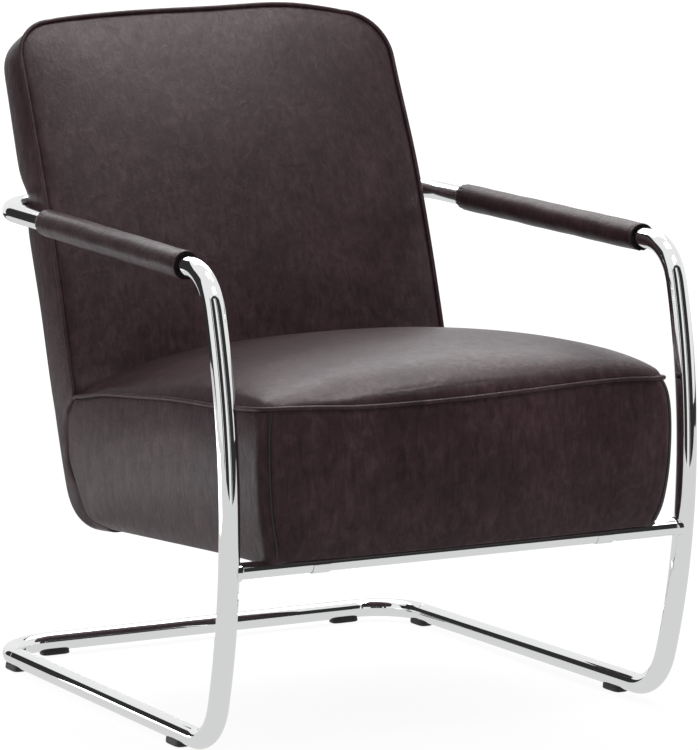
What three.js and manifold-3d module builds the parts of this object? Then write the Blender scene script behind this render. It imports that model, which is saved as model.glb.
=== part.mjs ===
// Cantilever lounge chair: a bent chrome tube loop that carries a leather seat and back on one plywood frame.
// Millimetres. X points to the chair's left-to-right as seen from the front, -Y to the front, +Z up.
// The chair is drawn with y = 0 on the rear base tube and moved at the end to stand centred on the origin.
import * as THREE from "three";
import { mergeVertices } from "three/addons/utils/BufferGeometryUtils.js";
import Module from "manifold-3d";

const wasm = await Module();
wasm.setup();

// Clearances
const GAP = 0.3; // between pieces that touch
const OVERRUN = 40; // how far a cutting tool runs past what it cuts
const degrees = Math.PI / 180;

// Chrome tube loop
const TUBE = 25;
const TUBE_WALL = 2;
const TUBE_SIDES = 20;
const BASE_SPAN = 605; // between the runners' centre lines
const GLIDE_DROP = 5; // from the tube down to the floor
const BASE_BEND = 75;
const BASE_SEAM = 86; // butt seam, forward of the rear base tube
const LOWER_BEND = 76;
const UPPER_BEND = 64;
const BOW_RADIUS = 780; // the uprights bow forward
const BOW_REACH = 776; // foremost point of the bow's centre line
const BOW_HEIGHT = 342;
const SPLAY = 0.556 * degrees; // the side frames lean outwards
const ARM_HEIGHT = 617; // arm centre line above the rear base tube
const ARM_TILT = 3.26 * degrees;
const ARM_BEND = 108;
const ARM_BACK = 36; // rear arm tube, forward of the rear base tube
const ARM_SEAM = 260;
const SPIGOT = 50;
const BEND_STEPS = 7;
const BOW_STEPS = 12;

// Front crossbar
const CROSSBAR = 20;
const CROSSBAR_WALL = 1.5;
const CROSSBAR_HEIGHT = 231.7;

// Glides
const GLIDE_LENGTH = 40;
const GLIDE_WIDTH = 20;
const GLIDE_HEIGHT = 9;
const GLIDE_CHAMFER = 4;
const RUNNER_GLIDE_FRONT = 604;
const RUNNER_GLIDE_REAR = 74;
const REAR_GLIDE_INSET = 84.5; // from the runner to the glide under the rear tube

// Arm pads
const PAD_FRONT = 668;
const PAD_LENGTH = 460;
const PAD_FOAM = 4.8;
const PAD_LEATHER = 1.4;
const PAD_LIP = 3; // the leather runs past the foam at the front
const PAD_ROUNDING = 9;
const PAD_SIDES = 24;
const PAD_STEPS = 3;

// Upholstered body
const SEAT_OVERHANG = 31.84; // front welt edge, forward of the crossbar
const SEAT_FRONT_HEIGHT = 418;
const SIDE_CLEARANCE = 20; // between the upright and the seat
const SEAT_CORNER_INSET = 6; // the front corners are drawn in
const SEAT_CORNER_RADIUS = 12;
const SEAT_CROWN = 66;
const SEAT_SIDE_BULGE = 4;
const SEAT_TUCK = 14; // the lower edge is drawn in
const FRONT_BULGE = 8; // of the front edge, seen from above
const FACE_BULGE = 4; // of the front face, seen from the side
const BODY_BOTTOM_SLOPE = 0.0693;
const CREASE_BACK = 225;
const CREASE_HEIGHT = 376;
const BACK_OVERHANG = 1; // the back is wider than the seat by this much on each side
const BACK_TOP_FRONT = 57;
const BACK_TOP_HEIGHT = 850;
const BACK_TOP_CROWN = 11;
const BACK_CORNER = 40;
const BACK_CROWN = 24;
const BACK_BOW = 13;
const BACK_SIDE_BULGE = 3;
const BACK_REAR_RADIUS = 25;
const TUBE_DENT = 26; // the arm tube presses the rear corners rounder by this much
const TUBE_DENT_REACH = 24;
const BACK_STANDOFF = 14.4756506; // from the rear arm tube to the outer back, without its bow
const OUTER_TOP_DROP = 24; // below the front edge of the back's top
const OUTER_LOW_BACK = 160;
const OUTER_LOW_HEIGHT = 340;
const OUTER_BOW = 5;
const OUTER_FILLET = 66; // round the rear bottom corner
const SKIRT_REACH = 302; // where the back's boxing runs out under the seat
const SKIRT_TIP = 8; // its thickness there
const SKIRT_THICKNESS = 42;
const DOME_POWER = 0.8; // how square the crowns are across
const CROWN_POWER = 0.7; // how quickly a crown rises behind its edge
const CROWN_FALL = 2.6; // how late the back's crown falls off to its top
const COLUMNS = 14; // grid steps of the soft blocks, across
const STRAIGHT_STEPS = 3;
const REAR_STEPS = 3;
const CORNER_STEPS = 4;
const CORNER_TRIES = 20; // rounds of the search for the frame's inner corner

// Welt
const WELT = 5.5;
const WELT_SIDES = 6;
const WELT_TURN = 7;

// Inner frame
const FOAM_WALL = 34; // foam and leather beside the frame
const FRONT_WALL = 24.5;
const SKIN = 3; // outer back panel and dust cover
const CHEEK = 18;
const FRONT_RAIL_DEPTH = 40;
const SEAT_FRAME_HEIGHT = 70;
const BACK_FRAME_DEPTH = 40;
const BACK_FRAME_DROP = 31; // from the outer back's top to the frame's
const RAIL = 25;
const LUMBAR_RAIL_HEIGHT = 66;
const REAR_RAIL_INSET = 8.1964519; // ahead of the centre of the rear bottom rounding
const PANEL_FRONT = 330; // where the outer back panel meets the dust cover
const STRAP = 3;
const STRAP_WIDTH = 50;
const SEAT_STRAPS = 5;
const SEAT_STRAP_PITCH = 86;
const BACK_STRAPS = 3;
const BACK_STRAP_START = 110;
const BACK_STRAP_DROP = 98.4984334; // from the frame's top to the last strap

// Fixings
const CLIP_SPREAD = 190;
const CLIP_WIDTH = 22;
const CLIP_THICKNESS = 2;
const CLIP_SCREW = 4;
const CLIP_SCREW_HEAD = 8;
const CLIP_SCREW_HEAD_HEIGHT = 2.4;
const CLIP_SCREW_LENGTH = 24;
const BOLT_SPREAD = 150;
const BOLT = 6;
const BOLT_HEAD = 16;
const BOLT_HEAD_HEIGHT = 5;
const BOLT_LENGTH = 66;
const SPACER = 26;
const SMALL_SIDES = 16;

// Derived sizes
const tubeRadius = TUBE / 2;
const boreRadius = tubeRadius - TUBE_WALL;
const runnerHeight = GLIDE_DROP + tubeRadius;
const crossbarRadius = CROSSBAR / 2;
const weltRadius = WELT / 2;
const weltStandoff = (weltRadius + GAP) / Math.SQRT2;
const bodyBottomAtBar = CROSSBAR_HEIGHT + crossbarRadius + GAP;
const seatHalfWidth = BASE_SPAN / 2 - tubeRadius - SIDE_CLEARANCE;
const backHalfWidth = seatHalfWidth + BACK_OVERHANG;

// Materials, seen in the photograph
const chrome = { color: 0xe4e5e7, roughness: 0.07, metalness: 1 };
const leather = { color: 0x3b2a2c, roughness: 0.42, metalness: 0 };
const weltLeather = { color: 0x36272a, roughness: 0.42, metalness: 0 };
const blackPlastic = { color: 0x101010, roughness: 0.5, metalness: 0 };
const blackFoam = { color: 0x0e0d0d, roughness: 0.95, metalness: 0 };
const plywood = { color: 0xc9a674, roughness: 0.65, metalness: 0 };
const webbing = { color: 0x1d1c1b, roughness: 0.9, metalness: 0 };
const steel = { color: 0xb4b6b8, roughness: 0.3, metalness: 1 };
const blackFabric = { color: 0x171717, roughness: 0.95, metalness: 0 };

const chair = new THREE.Group();

function add(name, geometry, look, holder = chair) {
  const mesh = new THREE.Mesh(geometry, new THREE.MeshStandardMaterial(look));
  mesh.name = name;
  holder.add(mesh);
  return mesh;
}

const mix = (a, b, share) => a + (b - a) * share;

// Solids
function toSolid(geometry) {
  const bare = geometry.clone();
  bare.deleteAttribute("normal");
  bare.deleteAttribute("uv");
  const merged = mergeVertices(bare, 1e-4);
  return new wasm.Manifold(
    new wasm.Mesh({
      numProp: 3,
      vertProperties: merged.attributes.position.array,
      triVerts: new Uint32Array(merged.index.array),
    }),
  );
}

function toGeometry(solid) {
  const mesh = solid.getMesh();
  return new THREE.BufferGeometry()
    .setAttribute("position", new THREE.BufferAttribute(mesh.vertProperties, 3))
    .setIndex(new THREE.BufferAttribute(mesh.triVerts, 1));
}

function cut(geometry, ...tools) {
  return toGeometry(tools.reduce((solid, tool) => solid.subtract(toSolid(tool)), toSolid(geometry)));
}

// A circle drawn as a polygon with its corners on the radius.
function circle(radius, sides) {
  const points = [];
  for (let i = 0; i < sides; i++) {
    const angle = (2 * Math.PI * i) / sides;
    points.push(new THREE.Vector2(radius * Math.cos(angle), radius * Math.sin(angle)));
  }
  return points;
}

function ring(outer, inner, sides) {
  const shape = new THREE.Shape(circle(outer, sides));
  if (inner) shape.holes.push(new THREE.Path(circle(inner, sides)));
  return shape;
}

// A route through chosen stations, each with its own direction, so that straight runs need no steps.
class Route extends THREE.Curve {
  constructor(stations) {
    super();
    this.stations = stations;
    this.steps = stations.length - 1;
  }
  getPointAt(share, target = new THREE.Vector3()) {
    return target.copy(this.stations[Math.round(share * this.steps)].point);
  }
  getTangentAt(share, target = new THREE.Vector3()) {
    return target.copy(this.stations[Math.round(share * this.steps)].direction);
  }
}

function sweep(shape, stations) {
  const route = new Route(stations);
  return new THREE.ExtrudeGeometry(shape, { extrudePath: route, steps: route.steps, curveSegments: 1 });
}

function station(x, y, z, dx, dy, dz) {
  return { point: new THREE.Vector3(x, y, z), direction: new THREE.Vector3(dx, dy, dz).normalize() };
}

// Extrudes an outline drawn in (y, z) along X, from one x to another.
function alongX(points, from, to) {
  const shape = new THREE.Shape(points.map((p) => new THREE.Vector2(p.y, p.z)));
  const basis = new THREE.Matrix4().makeBasis(
    new THREE.Vector3(0, 1, 0),
    new THREE.Vector3(0, 0, 1),
    new THREE.Vector3(1, 0, 0),
  );
  return new THREE.ExtrudeGeometry(shape, { depth: to - from, bevelEnabled: false })
    .applyMatrix4(basis)
    .translate(from, 0, 0);
}

function cylinderAlongY(radius, from, to, x, z, sides) {
  return new THREE.CylinderGeometry(radius, radius, to - from, sides).translate(x, (from + to) / 2, z);
}

// Tube loop routes
const bow = { y: BOW_RADIUS - BOW_REACH, z: BOW_HEIGHT };
const lower = { z: runnerHeight + LOWER_BEND };
lower.y = bow.y - Math.sqrt((BOW_RADIUS - LOWER_BEND) ** 2 - (lower.z - bow.z) ** 2);
const armSlope = Math.tan(ARM_TILT);
const armZ = (y) => ARM_HEIGHT + armSlope * y;
const upper = upperBendCentre();

function upperBendCentre() {
  const start = { y: UPPER_BEND * Math.sin(ARM_TILT), z: ARM_HEIGHT - UPPER_BEND * Math.cos(ARM_TILT) };
  const toBow = { y: start.y - bow.y, z: start.z - bow.z };
  const along = -toBow.y * Math.cos(ARM_TILT) - toBow.z * Math.sin(ARM_TILT);
  const rest = toBow.y ** 2 + toBow.z ** 2 - (BOW_RADIUS - UPPER_BEND) ** 2;
  const distance = -along + Math.sqrt(along ** 2 - rest);
  return { y: start.y - distance * Math.cos(ARM_TILT), z: start.z - distance * Math.sin(ARM_TILT) };
}

// A side frame lies in a plane that leans outwards from its runner.
const leanX = (z) => BASE_SPAN / 2 + (z - runnerHeight) * Math.tan(SPLAY);

function sideStations(side) {
  const list = [];
  const lean = Math.tan(SPLAY);
  const push = (y, z, dy, dz) => list.push(station(side * leanX(z), y, z, side * dz * lean, dy, dz));
  const arc = (centre, radius, from, to, steps, first) => {
    for (let i = first; i <= steps; i++) {
      const angle = from + ((to - from) * i) / steps;
      const y = centre.y + radius * Math.cos(angle);
      push(y, centre.z + radius * Math.sin(angle), Math.sin(angle), -Math.cos(angle));
    }
  };
  const lowAngle = Math.atan2(lower.z - bow.z, lower.y - bow.y);
  const highAngle = Math.atan2(upper.z - bow.z, upper.y - bow.y);
  push(-BASE_SEAM, runnerHeight, -1, 0);
  arc(lower, LOWER_BEND, -Math.PI / 2, lowAngle, BEND_STEPS, 0);
  arc(bow, BOW_RADIUS, lowAngle + 2 * Math.PI, highAngle, BOW_STEPS, 1);
  arc(upper, UPPER_BEND, highAngle, Math.PI / 2 + ARM_TILT, BEND_STEPS, 1);
  push(-ARM_SEAM, armZ(-ARM_SEAM), Math.cos(ARM_TILT), Math.sin(ARM_TILT));
  return list;
}

// A hoop across the back of the chair: two short legs, two bends and a straight run.
function hoopStations(halfSpan, back, bend, seam, heightAt, slope) {
  const list = [];
  const push = (x, y, dx, dy) => list.push(station(x, y, heightAt(y), dx, dy, slope * dy));
  const bendPoint = (side, i) => {
    const angle = (Math.PI / 2) * (i / BEND_STEPS);
    const x = side * (halfSpan - bend * (1 - Math.cos(angle)));
    push(x, -back - bend * (1 - Math.sin(angle)), Math.sin(angle), -side * Math.cos(angle));
  };
  push(-halfSpan, -seam, 0, 1);
  for (let i = 0; i <= BEND_STEPS; i++) bendPoint(-1, i);
  for (let i = BEND_STEPS; i >= 0; i--) bendPoint(1, i);
  push(halfSpan, -seam, 0, -1);
  return list;
}

const armHalfSpan = leanX(armZ(-ARM_SEAM));
const baseHoop = hoopStations(BASE_SPAN / 2, 0, BASE_BEND, BASE_SEAM - GAP, () => runnerHeight, 0);
const armHoop = hoopStations(armHalfSpan, ARM_BACK, ARM_BEND, ARM_SEAM - GAP, armZ, armSlope);
const sides = { left: -1, right: 1 };

const tubeShape = ring(tubeRadius, boreRadius, TUBE_SIDES);
const tubeTool = ring(tubeRadius + GAP, 0, TUBE_SIDES);

for (const [name, side] of Object.entries(sides))
  add(`${name}_side_tube`, sweep(tubeShape, sideStations(side)), chrome);
add("rear_base_tube", sweep(tubeShape, baseHoop), chrome);

// The bolts pass through the rear arm tube, the spacers, the outer back panel and the lumbar rail.
const boltZ = armZ(-ARM_BACK);
const boltTool = (x) =>
  cylinderAlongY(BOLT / 2 + GAP, -ARM_BACK - BOLT_LENGTH - OVERRUN, OVERRUN, x, boltZ, SMALL_SIDES);
const boltTools = [boltTool(-BOLT_SPREAD), boltTool(BOLT_SPREAD)];
add("rear_arm_tube", cut(sweep(tubeShape, armHoop), ...boltTools), chrome);

// Spigots inside the butt seams
for (const [name, side] of Object.entries(sides)) {
  const radius = boreRadius - GAP;
  const spigot = () => new THREE.CylinderGeometry(radius, radius, SPIGOT, TUBE_SIDES);
  const base = add(`base_spigot_${name}`, spigot(), steel);
  base.position.set((side * BASE_SPAN) / 2, -BASE_BEND - GAP - SPIGOT / 2, runnerHeight);
  const arm = add(`arm_spigot_${name}`, spigot(), steel);
  arm.position.set(side * armHalfSpan, -ARM_SEAM, armZ(-ARM_SEAM));
  arm.rotation.x = ARM_TILT;
}

// Front crossbar, coped to the uprights
const crossbarY = bow.y - Math.sqrt(BOW_RADIUS ** 2 - (CROSSBAR_HEIGHT - bow.z) ** 2);
const crossbarBlank = new THREE.ExtrudeGeometry(
  ring(crossbarRadius, crossbarRadius - CROSSBAR_WALL, TUBE_SIDES),
  { depth: BASE_SPAN + tubeRadius, bevelEnabled: false },
)
  .translate(0, 0, -(BASE_SPAN + tubeRadius) / 2)
  .rotateY(Math.PI / 2)
  .translate(0, crossbarY, CROSSBAR_HEIGHT);
const uprightTools = [sweep(tubeTool, sideStations(-1)), sweep(tubeTool, sideStations(1))];
add("front_crossbar", trimBetween(crossbarBlank), chrome);

// Keeps the middle body after both uprights are cut out of the blank.
function trimBetween(blank) {
  const pieces = toSolid(cut(blank, ...uprightTools)).decompose();
  pieces.sort((a, b) => b.volume() - a.volume());
  return toGeometry(pieces[0]);
}

// Glides, cut to the underside of the tube they sit under
function glide(name, x, y, turned, tool) {
  const half = GLIDE_LENGTH / 2;
  const outline = [
    new THREE.Vector2(-half, GLIDE_HEIGHT),
    new THREE.Vector2(-half, GLIDE_CHAMFER),
    new THREE.Vector2(-half + GLIDE_CHAMFER, 0),
    new THREE.Vector2(half - GLIDE_CHAMFER, 0),
    new THREE.Vector2(half, GLIDE_CHAMFER),
    new THREE.Vector2(half, GLIDE_HEIGHT),
  ];
  const shape = new THREE.Shape(outline);
  const block = new THREE.ExtrudeGeometry(shape, { depth: GLIDE_WIDTH, bevelEnabled: false })
    .translate(0, 0, -GLIDE_WIDTH / 2)
    .rotateX(Math.PI / 2)
    .rotateZ(turned ? Math.PI / 2 : 0)
    .translate(x, y, 0);
  add(name, cut(block, tool), blackPlastic);
}

const longHoop = hoopStations(BASE_SPAN / 2, 0, BASE_BEND, BASE_SEAM + GLIDE_LENGTH, () => runnerHeight, 0);
const baseTool = sweep(tubeTool, longHoop);
for (const [name, side] of Object.entries(sides)) {
  const x = (side * BASE_SPAN) / 2;
  const upright = uprightTools[side < 0 ? 0 : 1];
  glide(`runner_glide_front_${name}`, x, -RUNNER_GLIDE_FRONT, true, upright);
  glide(`runner_glide_rear_${name}`, x, -RUNNER_GLIDE_REAR, true, baseTool);
  glide(`rear_glide_${name}`, x - side * REAR_GLIDE_INSET, 0, false, baseTool);
}

// Arm pads: a foam core on the tube and a leather sleeve that closes round its rear end
const armDirection = new THREE.Vector3(0, Math.cos(ARM_TILT), Math.sin(ARM_TILT));
const coreInner = tubeRadius + GAP;
const coreOuter = coreInner + PAD_FOAM;
const sleeveInner = coreOuter + GAP;
const sleeveOuter = sleeveInner + PAD_LEATHER;

function lathe(points, sideCount) {
  return new THREE.LatheGeometry([...points, points[0]], sideCount);
}

function coreProfile() {
  const rear = PAD_LENGTH - PAD_LEATHER - GAP;
  return [
    new THREE.Vector2(coreInner, PAD_LIP),
    new THREE.Vector2(coreOuter, PAD_LIP),
    new THREE.Vector2(coreOuter, rear - PAD_ROUNDING),
    new THREE.Vector2(coreInner, rear - PAD_ROUNDING + PAD_FOAM),
  ];
}

function sleeveProfile() {
  const outer = [];
  const inner = [];
  const throat = coreInner;
  const start = PAD_LENGTH - PAD_ROUNDING;
  for (let i = 0; i <= PAD_STEPS; i++) {
    const angle = (Math.PI / 2) * (i / PAD_STEPS);
    const reach = Math.sin(angle);
    const drop = 1 - Math.cos(angle);
    const round = PAD_ROUNDING - PAD_LEATHER;
    outer.push(new THREE.Vector2(mix(sleeveOuter, throat + PAD_LEATHER, drop), start + reach * PAD_ROUNDING));
    inner.push(new THREE.Vector2(mix(sleeveInner, throat, drop), start + reach * round));
  }
  return [new THREE.Vector2(sleeveInner, 0), new THREE.Vector2(sleeveOuter, 0), ...outer, ...inner.reverse()];
}

for (const [name, side] of Object.entries(sides)) {
  const pad = new THREE.Group();
  pad.position.set(side * leanX(armZ(-PAD_FRONT + PAD_LENGTH / 2)), -PAD_FRONT, armZ(-PAD_FRONT));
  pad.quaternion.setFromUnitVectors(new THREE.Vector3(0, 1, 0), armDirection);
  add(`arm_core_${name}`, lathe(coreProfile(), PAD_SIDES), blackFoam, pad);
  add(`arm_sleeve_${name}`, lathe(sleeveProfile(), PAD_SIDES), leather, pad);
  chair.add(pad);
}

// Body outline, seen from the side: the bottom, the rear bottom corner and the outer back
const mixPoint = (a, b, share) => ({ y: mix(a.y, b.y, share), z: mix(a.z, b.z, share) });
const seatReach = -crossbarY + SEAT_OVERHANG;
const bottomZ = (y) => bodyBottomAtBar + BODY_BOTTOM_SLOPE * (crossbarY - y);
const outerLow = { y: -OUTER_LOW_BACK, z: OUTER_LOW_HEIGHT };
const outerTop = { z: BACK_TOP_HEIGHT - OUTER_TOP_DROP };
const armRise = (outerTop.z - outerLow.z) / (boltZ - outerLow.z);
outerTop.y = outerLow.y + (OUTER_LOW_BACK - ARM_BACK - tubeRadius - BACK_STANDOFF) * armRise;
const outerAngle = Math.atan2(outerTop.z - outerLow.z, outerTop.y - outerLow.y);
const outerLength = Math.hypot(outerTop.y - outerLow.y, outerTop.z - outerLow.z);
const bottomAngle = -Math.atan(BODY_BOTTOM_SLOPE);

// A point of the outer back, from its low end to its top, with the bow of the panel
function outerPoint(share) {
  const p = mixPoint(outerLow, outerTop, share);
  const swell = OUTER_BOW * Math.sin(Math.PI * share);
  return { y: p.y + swell * Math.sin(outerAngle), z: p.z - swell * Math.cos(outerAngle) };
}

// The fillet between the bottom and the outer back
const filletCentre = fillet();

function fillet() {
  const slope = Math.tan(outerAngle);
  const clearBottom = OUTER_FILLET / Math.cos(bottomAngle);
  const clearOuter = OUTER_FILLET / Math.sin(outerAngle);
  const y0 = outerLow.y - clearOuter;
  const y =
    (bodyBottomAtBar + BODY_BOTTOM_SLOPE * crossbarY + clearBottom - outerLow.z + slope * y0) /
    (slope + BODY_BOTTOM_SLOPE);
  return { y, z: outerLow.z + slope * (y - y0) };
}

function filletPoint(share) {
  const angle = mix(bottomAngle - Math.PI / 2, outerAngle - Math.PI / 2, share);
  return {
    y: filletCentre.y + OUTER_FILLET * Math.cos(angle),
    z: filletCentre.z + OUTER_FILLET * Math.sin(angle),
  };
}

const filletShares = [0, 0.2, 0.4, 0.6, 0.8, 1];
const outerRiseShares = [0.06, 0.16, 0.28, 0.4, 0.52, 0.64, 0.76, 0.88];

function outline(fromY, toShare) {
  const list = [{ y: fromY, z: bottomZ(fromY) }];
  for (const share of filletShares) list.push(filletPoint(share));
  for (const share of [0, ...outerRiseShares]) if (share < toShare) list.push(outerPoint(share));
  list.push(outerPoint(toShare));
  return list;
}

// Moves each point of an outline inwards, square to its neighbours.
function inset(points, distance) {
  return points.map((p, i) => {
    const before = points[Math.max(i - 1, 0)];
    const after = points[Math.min(i + 1, points.length - 1)];
    const length = Math.hypot(after.y - before.y, after.z - before.z);
    return {
      y: p.y - (distance * (after.z - before.z)) / length,
      z: p.z + (distance * (after.y - before.y)) / length,
    };
  });
}

// The place of a column, from -1 to 1, with the outer columns closer together
const columnEvenShare = 0.5;

function columnShare(column) {
  const even = (2 * column) / COLUMNS - 1;
  return mix(Math.sin((even * Math.PI) / 2), even, columnEvenShare);
}

// Soft blocks: a box whose grid points are moved to their places
function softBlock(nx, ny, nz, place) {
  const box = new THREE.BoxGeometry(1, 1, 1, nx, ny, nz);
  const corners = box.attributes.position;
  const target = new THREE.Vector3();
  for (let i = 0; i < corners.count; i++) {
    const column = Math.round((corners.getX(i) + 1 / 2) * nx);
    const depth = Math.round((corners.getY(i) + 1 / 2) * ny);
    const row = Math.round((corners.getZ(i) + 1 / 2) * nz);
    place(columnShare(column), depth, row, target);
    corners.setXYZ(i, target.x, target.y, target.z);
  }
  return box;
}

const dome = (across) => Math.max(0, 1 - across ** 2) ** DOME_POWER;

// Back cushion: rows run up from the skirt's tip to the rounded top
const frontLow = { y: -CREASE_BACK, z: CREASE_HEIGHT };
const frontTop = { y: -BACK_TOP_FRONT, z: BACK_TOP_HEIGHT };
const skirtShares = [SKIRT_TIP / SKIRT_THICKNESS, 0.5, 0.75, 0.9, 1, 1, 1];
const skirtTuckShares = [1, 0.9, 0.62, 0.36, 0.15, 0.04, 0];
const crownLowShare = 0.55; // of the full crown, at the crease
const crownFullShare = 0.3; // of the height, where the crown is full
const crownFallShare = 0.42; // of the height, where it starts to fall off
const rearRoundingShare = 0.8;
const riseShares = [0, 0.08, 0.18, 0.29, 0.4, 0.49, 0.53, 0.555, 0.58, 0.605, 0.64, 0.72, 0.81, 0.87];
const backRows = backRowList();

function backRowList() {
  const rows = [];
  const low = outline(-SKIRT_REACH, 0).slice(0, skirtShares.length);
  const inner = inset(low, 1);
  low.forEach((p, i) => {
    const reach = SKIRT_THICKNESS * skirtShares[i];
    rows.push({
      front: { y: mix(p.y, inner[i].y, reach), z: mix(p.z, inner[i].z, reach) },
      rear: p,
      width: 1 - (SEAT_TUCK / backHalfWidth) * skirtTuckShares[i],
      crown: 0,
    });
  });
  const length = Math.hypot(frontTop.y - frontLow.y, frontTop.z - frontLow.z);
  const push = (share, width) => {
    const front = mixPoint(frontLow, frontTop, share);
    front.y -= BACK_BOW * Math.sin(Math.PI * share);
    rows.push({ front, rear: outerPoint(share), width, crown: crownAt(share) });
  };
  for (const share of riseShares) push(share, 1);
  for (let step = 0; step <= CORNER_STEPS; step++) {
    const angle = (Math.PI / 2) * (step / CORNER_STEPS);
    const narrow = BACK_CORNER * (1 - Math.cos(angle));
    push(1 - (BACK_CORNER / length) * (1 - Math.sin(angle)), 1 - narrow / backHalfWidth);
  }
  return rows;
}

// The front panel's crown: quick to rise over the crease, full in the lower half, steep near the top
function crownAt(share) {
  const rise = mix(crownLowShare, 1, Math.min(1, share / crownFullShare));
  const fall = Math.max(0, (share - crownFallShare) / (1 - crownFallShare));
  return rise * (1 - fall ** CROWN_FALL) ** CROWN_POWER;
}

function placeBack(across, depth, row, target) {
  const { front, rear, width, crown } = backRows[row];
  const thickness = Math.hypot(rear.y - front.y, rear.z - front.z);
  const dent = TUBE_DENT * Math.exp(-(((rear.z - boltZ) / TUBE_DENT_REACH) ** 2));
  const radius = Math.min(BACK_REAR_RADIUS + dent, thickness * rearRoundingShare);
  const straight = 1 - radius / thickness;
  let share = (straight * depth) / STRAIGHT_STEPS;
  let narrow = 0;
  if (depth > STRAIGHT_STEPS) {
    const angle = (Math.PI / 2) * ((depth - STRAIGHT_STEPS) / REAR_STEPS);
    share = straight + (radius / thickness) * Math.sin(angle);
    narrow = radius * (1 - Math.cos(angle));
  }
  const half = backHalfWidth * width - narrow + BACK_SIDE_BULGE * Math.sin(Math.PI * share);
  const swell = BACK_CROWN * crown * dome(across) * (depth === 0 ? 1 : 0);
  const lift = row === backRows.length - 1 ? BACK_TOP_CROWN * dome(across) : 0;
  target.set(across * half, mix(front.y, rear.y, share) - swell, mix(front.z, rear.z, share) + lift);
}

// The back grown by a gap in front, below and beside, to cut its place out of the seat
function placeBackTool(across, depth, row, target) {
  placeBack(across, depth, row, target);
  target.x += Math.abs(across) === 1 ? across * SEAT_SIDE_BULGE : 0;
  target.y -= 2 * GAP;
  target.z += depth === 0 ? GAP : -GAP;
}

const backSteps = [COLUMNS, STRAIGHT_STEPS + REAR_STEPS, backRows.length - 1];
const backBlock = softBlock(...backSteps, placeBack);
const backTool = softBlock(...backSteps, placeBackTool);

// Seat cushion: depth runs from the front to the seam with the boxing and on into the back, which is cut from it
const seatFrontTop = { y: -seatReach, z: SEAT_FRONT_HEIGHT };
const seatFrontLow = { y: -seatReach + FACE_BULGE, z: bottomZ(-seatReach) };
const seatDepthShares = [0, 0.01, 0.022, 0.07, 0.15, 0.25, 0.37, 0.5, 0.63, 0.76, 0.88, 0.98, 1.045];
const seatRiseShares = [0, 0.06, 0.16, 0.34, 0.55, 0.78, 1];
const creaseShare = 0.95; // of the seat's depth, where its welt turns up to the back
const cornerInsetShare = 0.2;
const sideTuckShare = 0.34;
const frontTuckShare = 0.16;
const crownRiseShare = 2 / 3;

// The seam between the seat's side and the boxing follows the front of the skirt, row by row.
function seatSeam(rise) {
  const at = rise * skirtShares.length;
  const low = Math.min(Math.floor(at), skirtShares.length - 1);
  return mixPoint(backRows[low].front, backRows[low + 1].front, at - low);
}

function seatHalfAt(share, rise) {
  const drawn = SEAT_CORNER_INSET * Math.max(0, 1 - share / cornerInsetShare) ** 2;
  const cornerShare = SEAT_CORNER_RADIUS / (seatReach - CREASE_BACK);
  const corner = Math.min(1, share / cornerShare);
  const round = SEAT_CORNER_RADIUS * (1 - Math.sqrt(1 - (1 - corner) ** 2));
  const tuck = SEAT_TUCK * Math.max(0, 1 - rise / sideTuckShare) ** 2;
  return seatHalfWidth - drawn - round - tuck + SEAT_SIDE_BULGE * Math.sin(Math.PI * rise);
}

function placeSeat(across, depth, row, target) {
  const share = seatDepthShares[depth];
  const rise = seatRiseShares[row];
  const front = mixPoint(seatFrontLow, seatFrontTop, rise);
  front.y -= FACE_BULGE * Math.sin(Math.PI * rise) + FRONT_BULGE * (1 - across ** 2);
  front.y += SEAT_TUCK * Math.max(0, 1 - rise / frontTuckShare) ** 2;
  const seam = seatSeam(rise);
  const risen = Math.sin((Math.PI / 2) * Math.min(1, share / crownRiseShare)) ** CROWN_POWER;
  const lift = row === seatRiseShares.length - 1 ? SEAT_CROWN * risen * dome(across) : 0;
  const half = seatHalfAt(share, rise);
  target.set(across * half, mix(front.y, seam.y, share), mix(front.z, seam.z, share) + lift);
}

const seatBlock = softBlock(COLUMNS, seatDepthShares.length - 1, seatRiseShares.length - 1, placeSeat);

// Inner frame, drawn in (y, z). The cavity is open below and behind, and the outer back panel closes it.
const frameFront = -seatReach + FRONT_WALL;
const seatFrameTop = (y) => bottomZ(y) + SEAT_FRAME_HEIGHT;
const cavityTop = (y) => seatFrameTop(y) + STRAP + 2 * GAP;
const frameHalfWidth = seatHalfWidth - FOAM_WALL;

// A point at a depth in front of the outer back panel, on the straight line that the panel bows from
function backFrameFront(share, depth) {
  const [low, top] = inset([outerLow, outerTop], SKIN + GAP + depth);
  return mixPoint(low, top, share);
}

const backTopShare = 1 - BACK_FRAME_DROP / (outerTop.z - outerLow.z);

// Where a line parallel to the outer back meets a height line over the seat
function innerCorner(depth, heightAt) {
  const a = backFrameFront(0, depth);
  const b = backFrameFront(1, depth);
  const slope = (b.y - a.y) / (b.z - a.z);
  let z = heightAt(a.y);
  for (let i = 0; i < CORNER_TRIES; i++) z = heightAt(a.y + slope * (z - a.z));
  return { y: a.y + slope * (z - a.z), z };
}

const cavityDepth = BACK_FRAME_DEPTH + STRAP + 2 * GAP;
const cavityTopShare = backTopShare + GAP / outerLength;
const cavity = alongX(
  [
    { y: frameFront - GAP, z: bottomZ(frameFront) - OVERRUN },
    { y: OVERRUN, z: bottomZ(frameFront) - OVERRUN - SEAT_FRAME_HEIGHT },
    backFrameFront(cavityTopShare, -OVERRUN),
    backFrameFront(cavityTopShare, cavityDepth),
    innerCorner(cavityDepth, cavityTop),
    { y: frameFront - GAP, z: cavityTop(frameFront) },
  ],
  -frameHalfWidth - GAP,
  frameHalfWidth + GAP,
);

add("back_cushion", cut(backBlock, cavity), leather);
add("seat_cushion", cut(seatBlock, backTool, cavity), leather);

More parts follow.
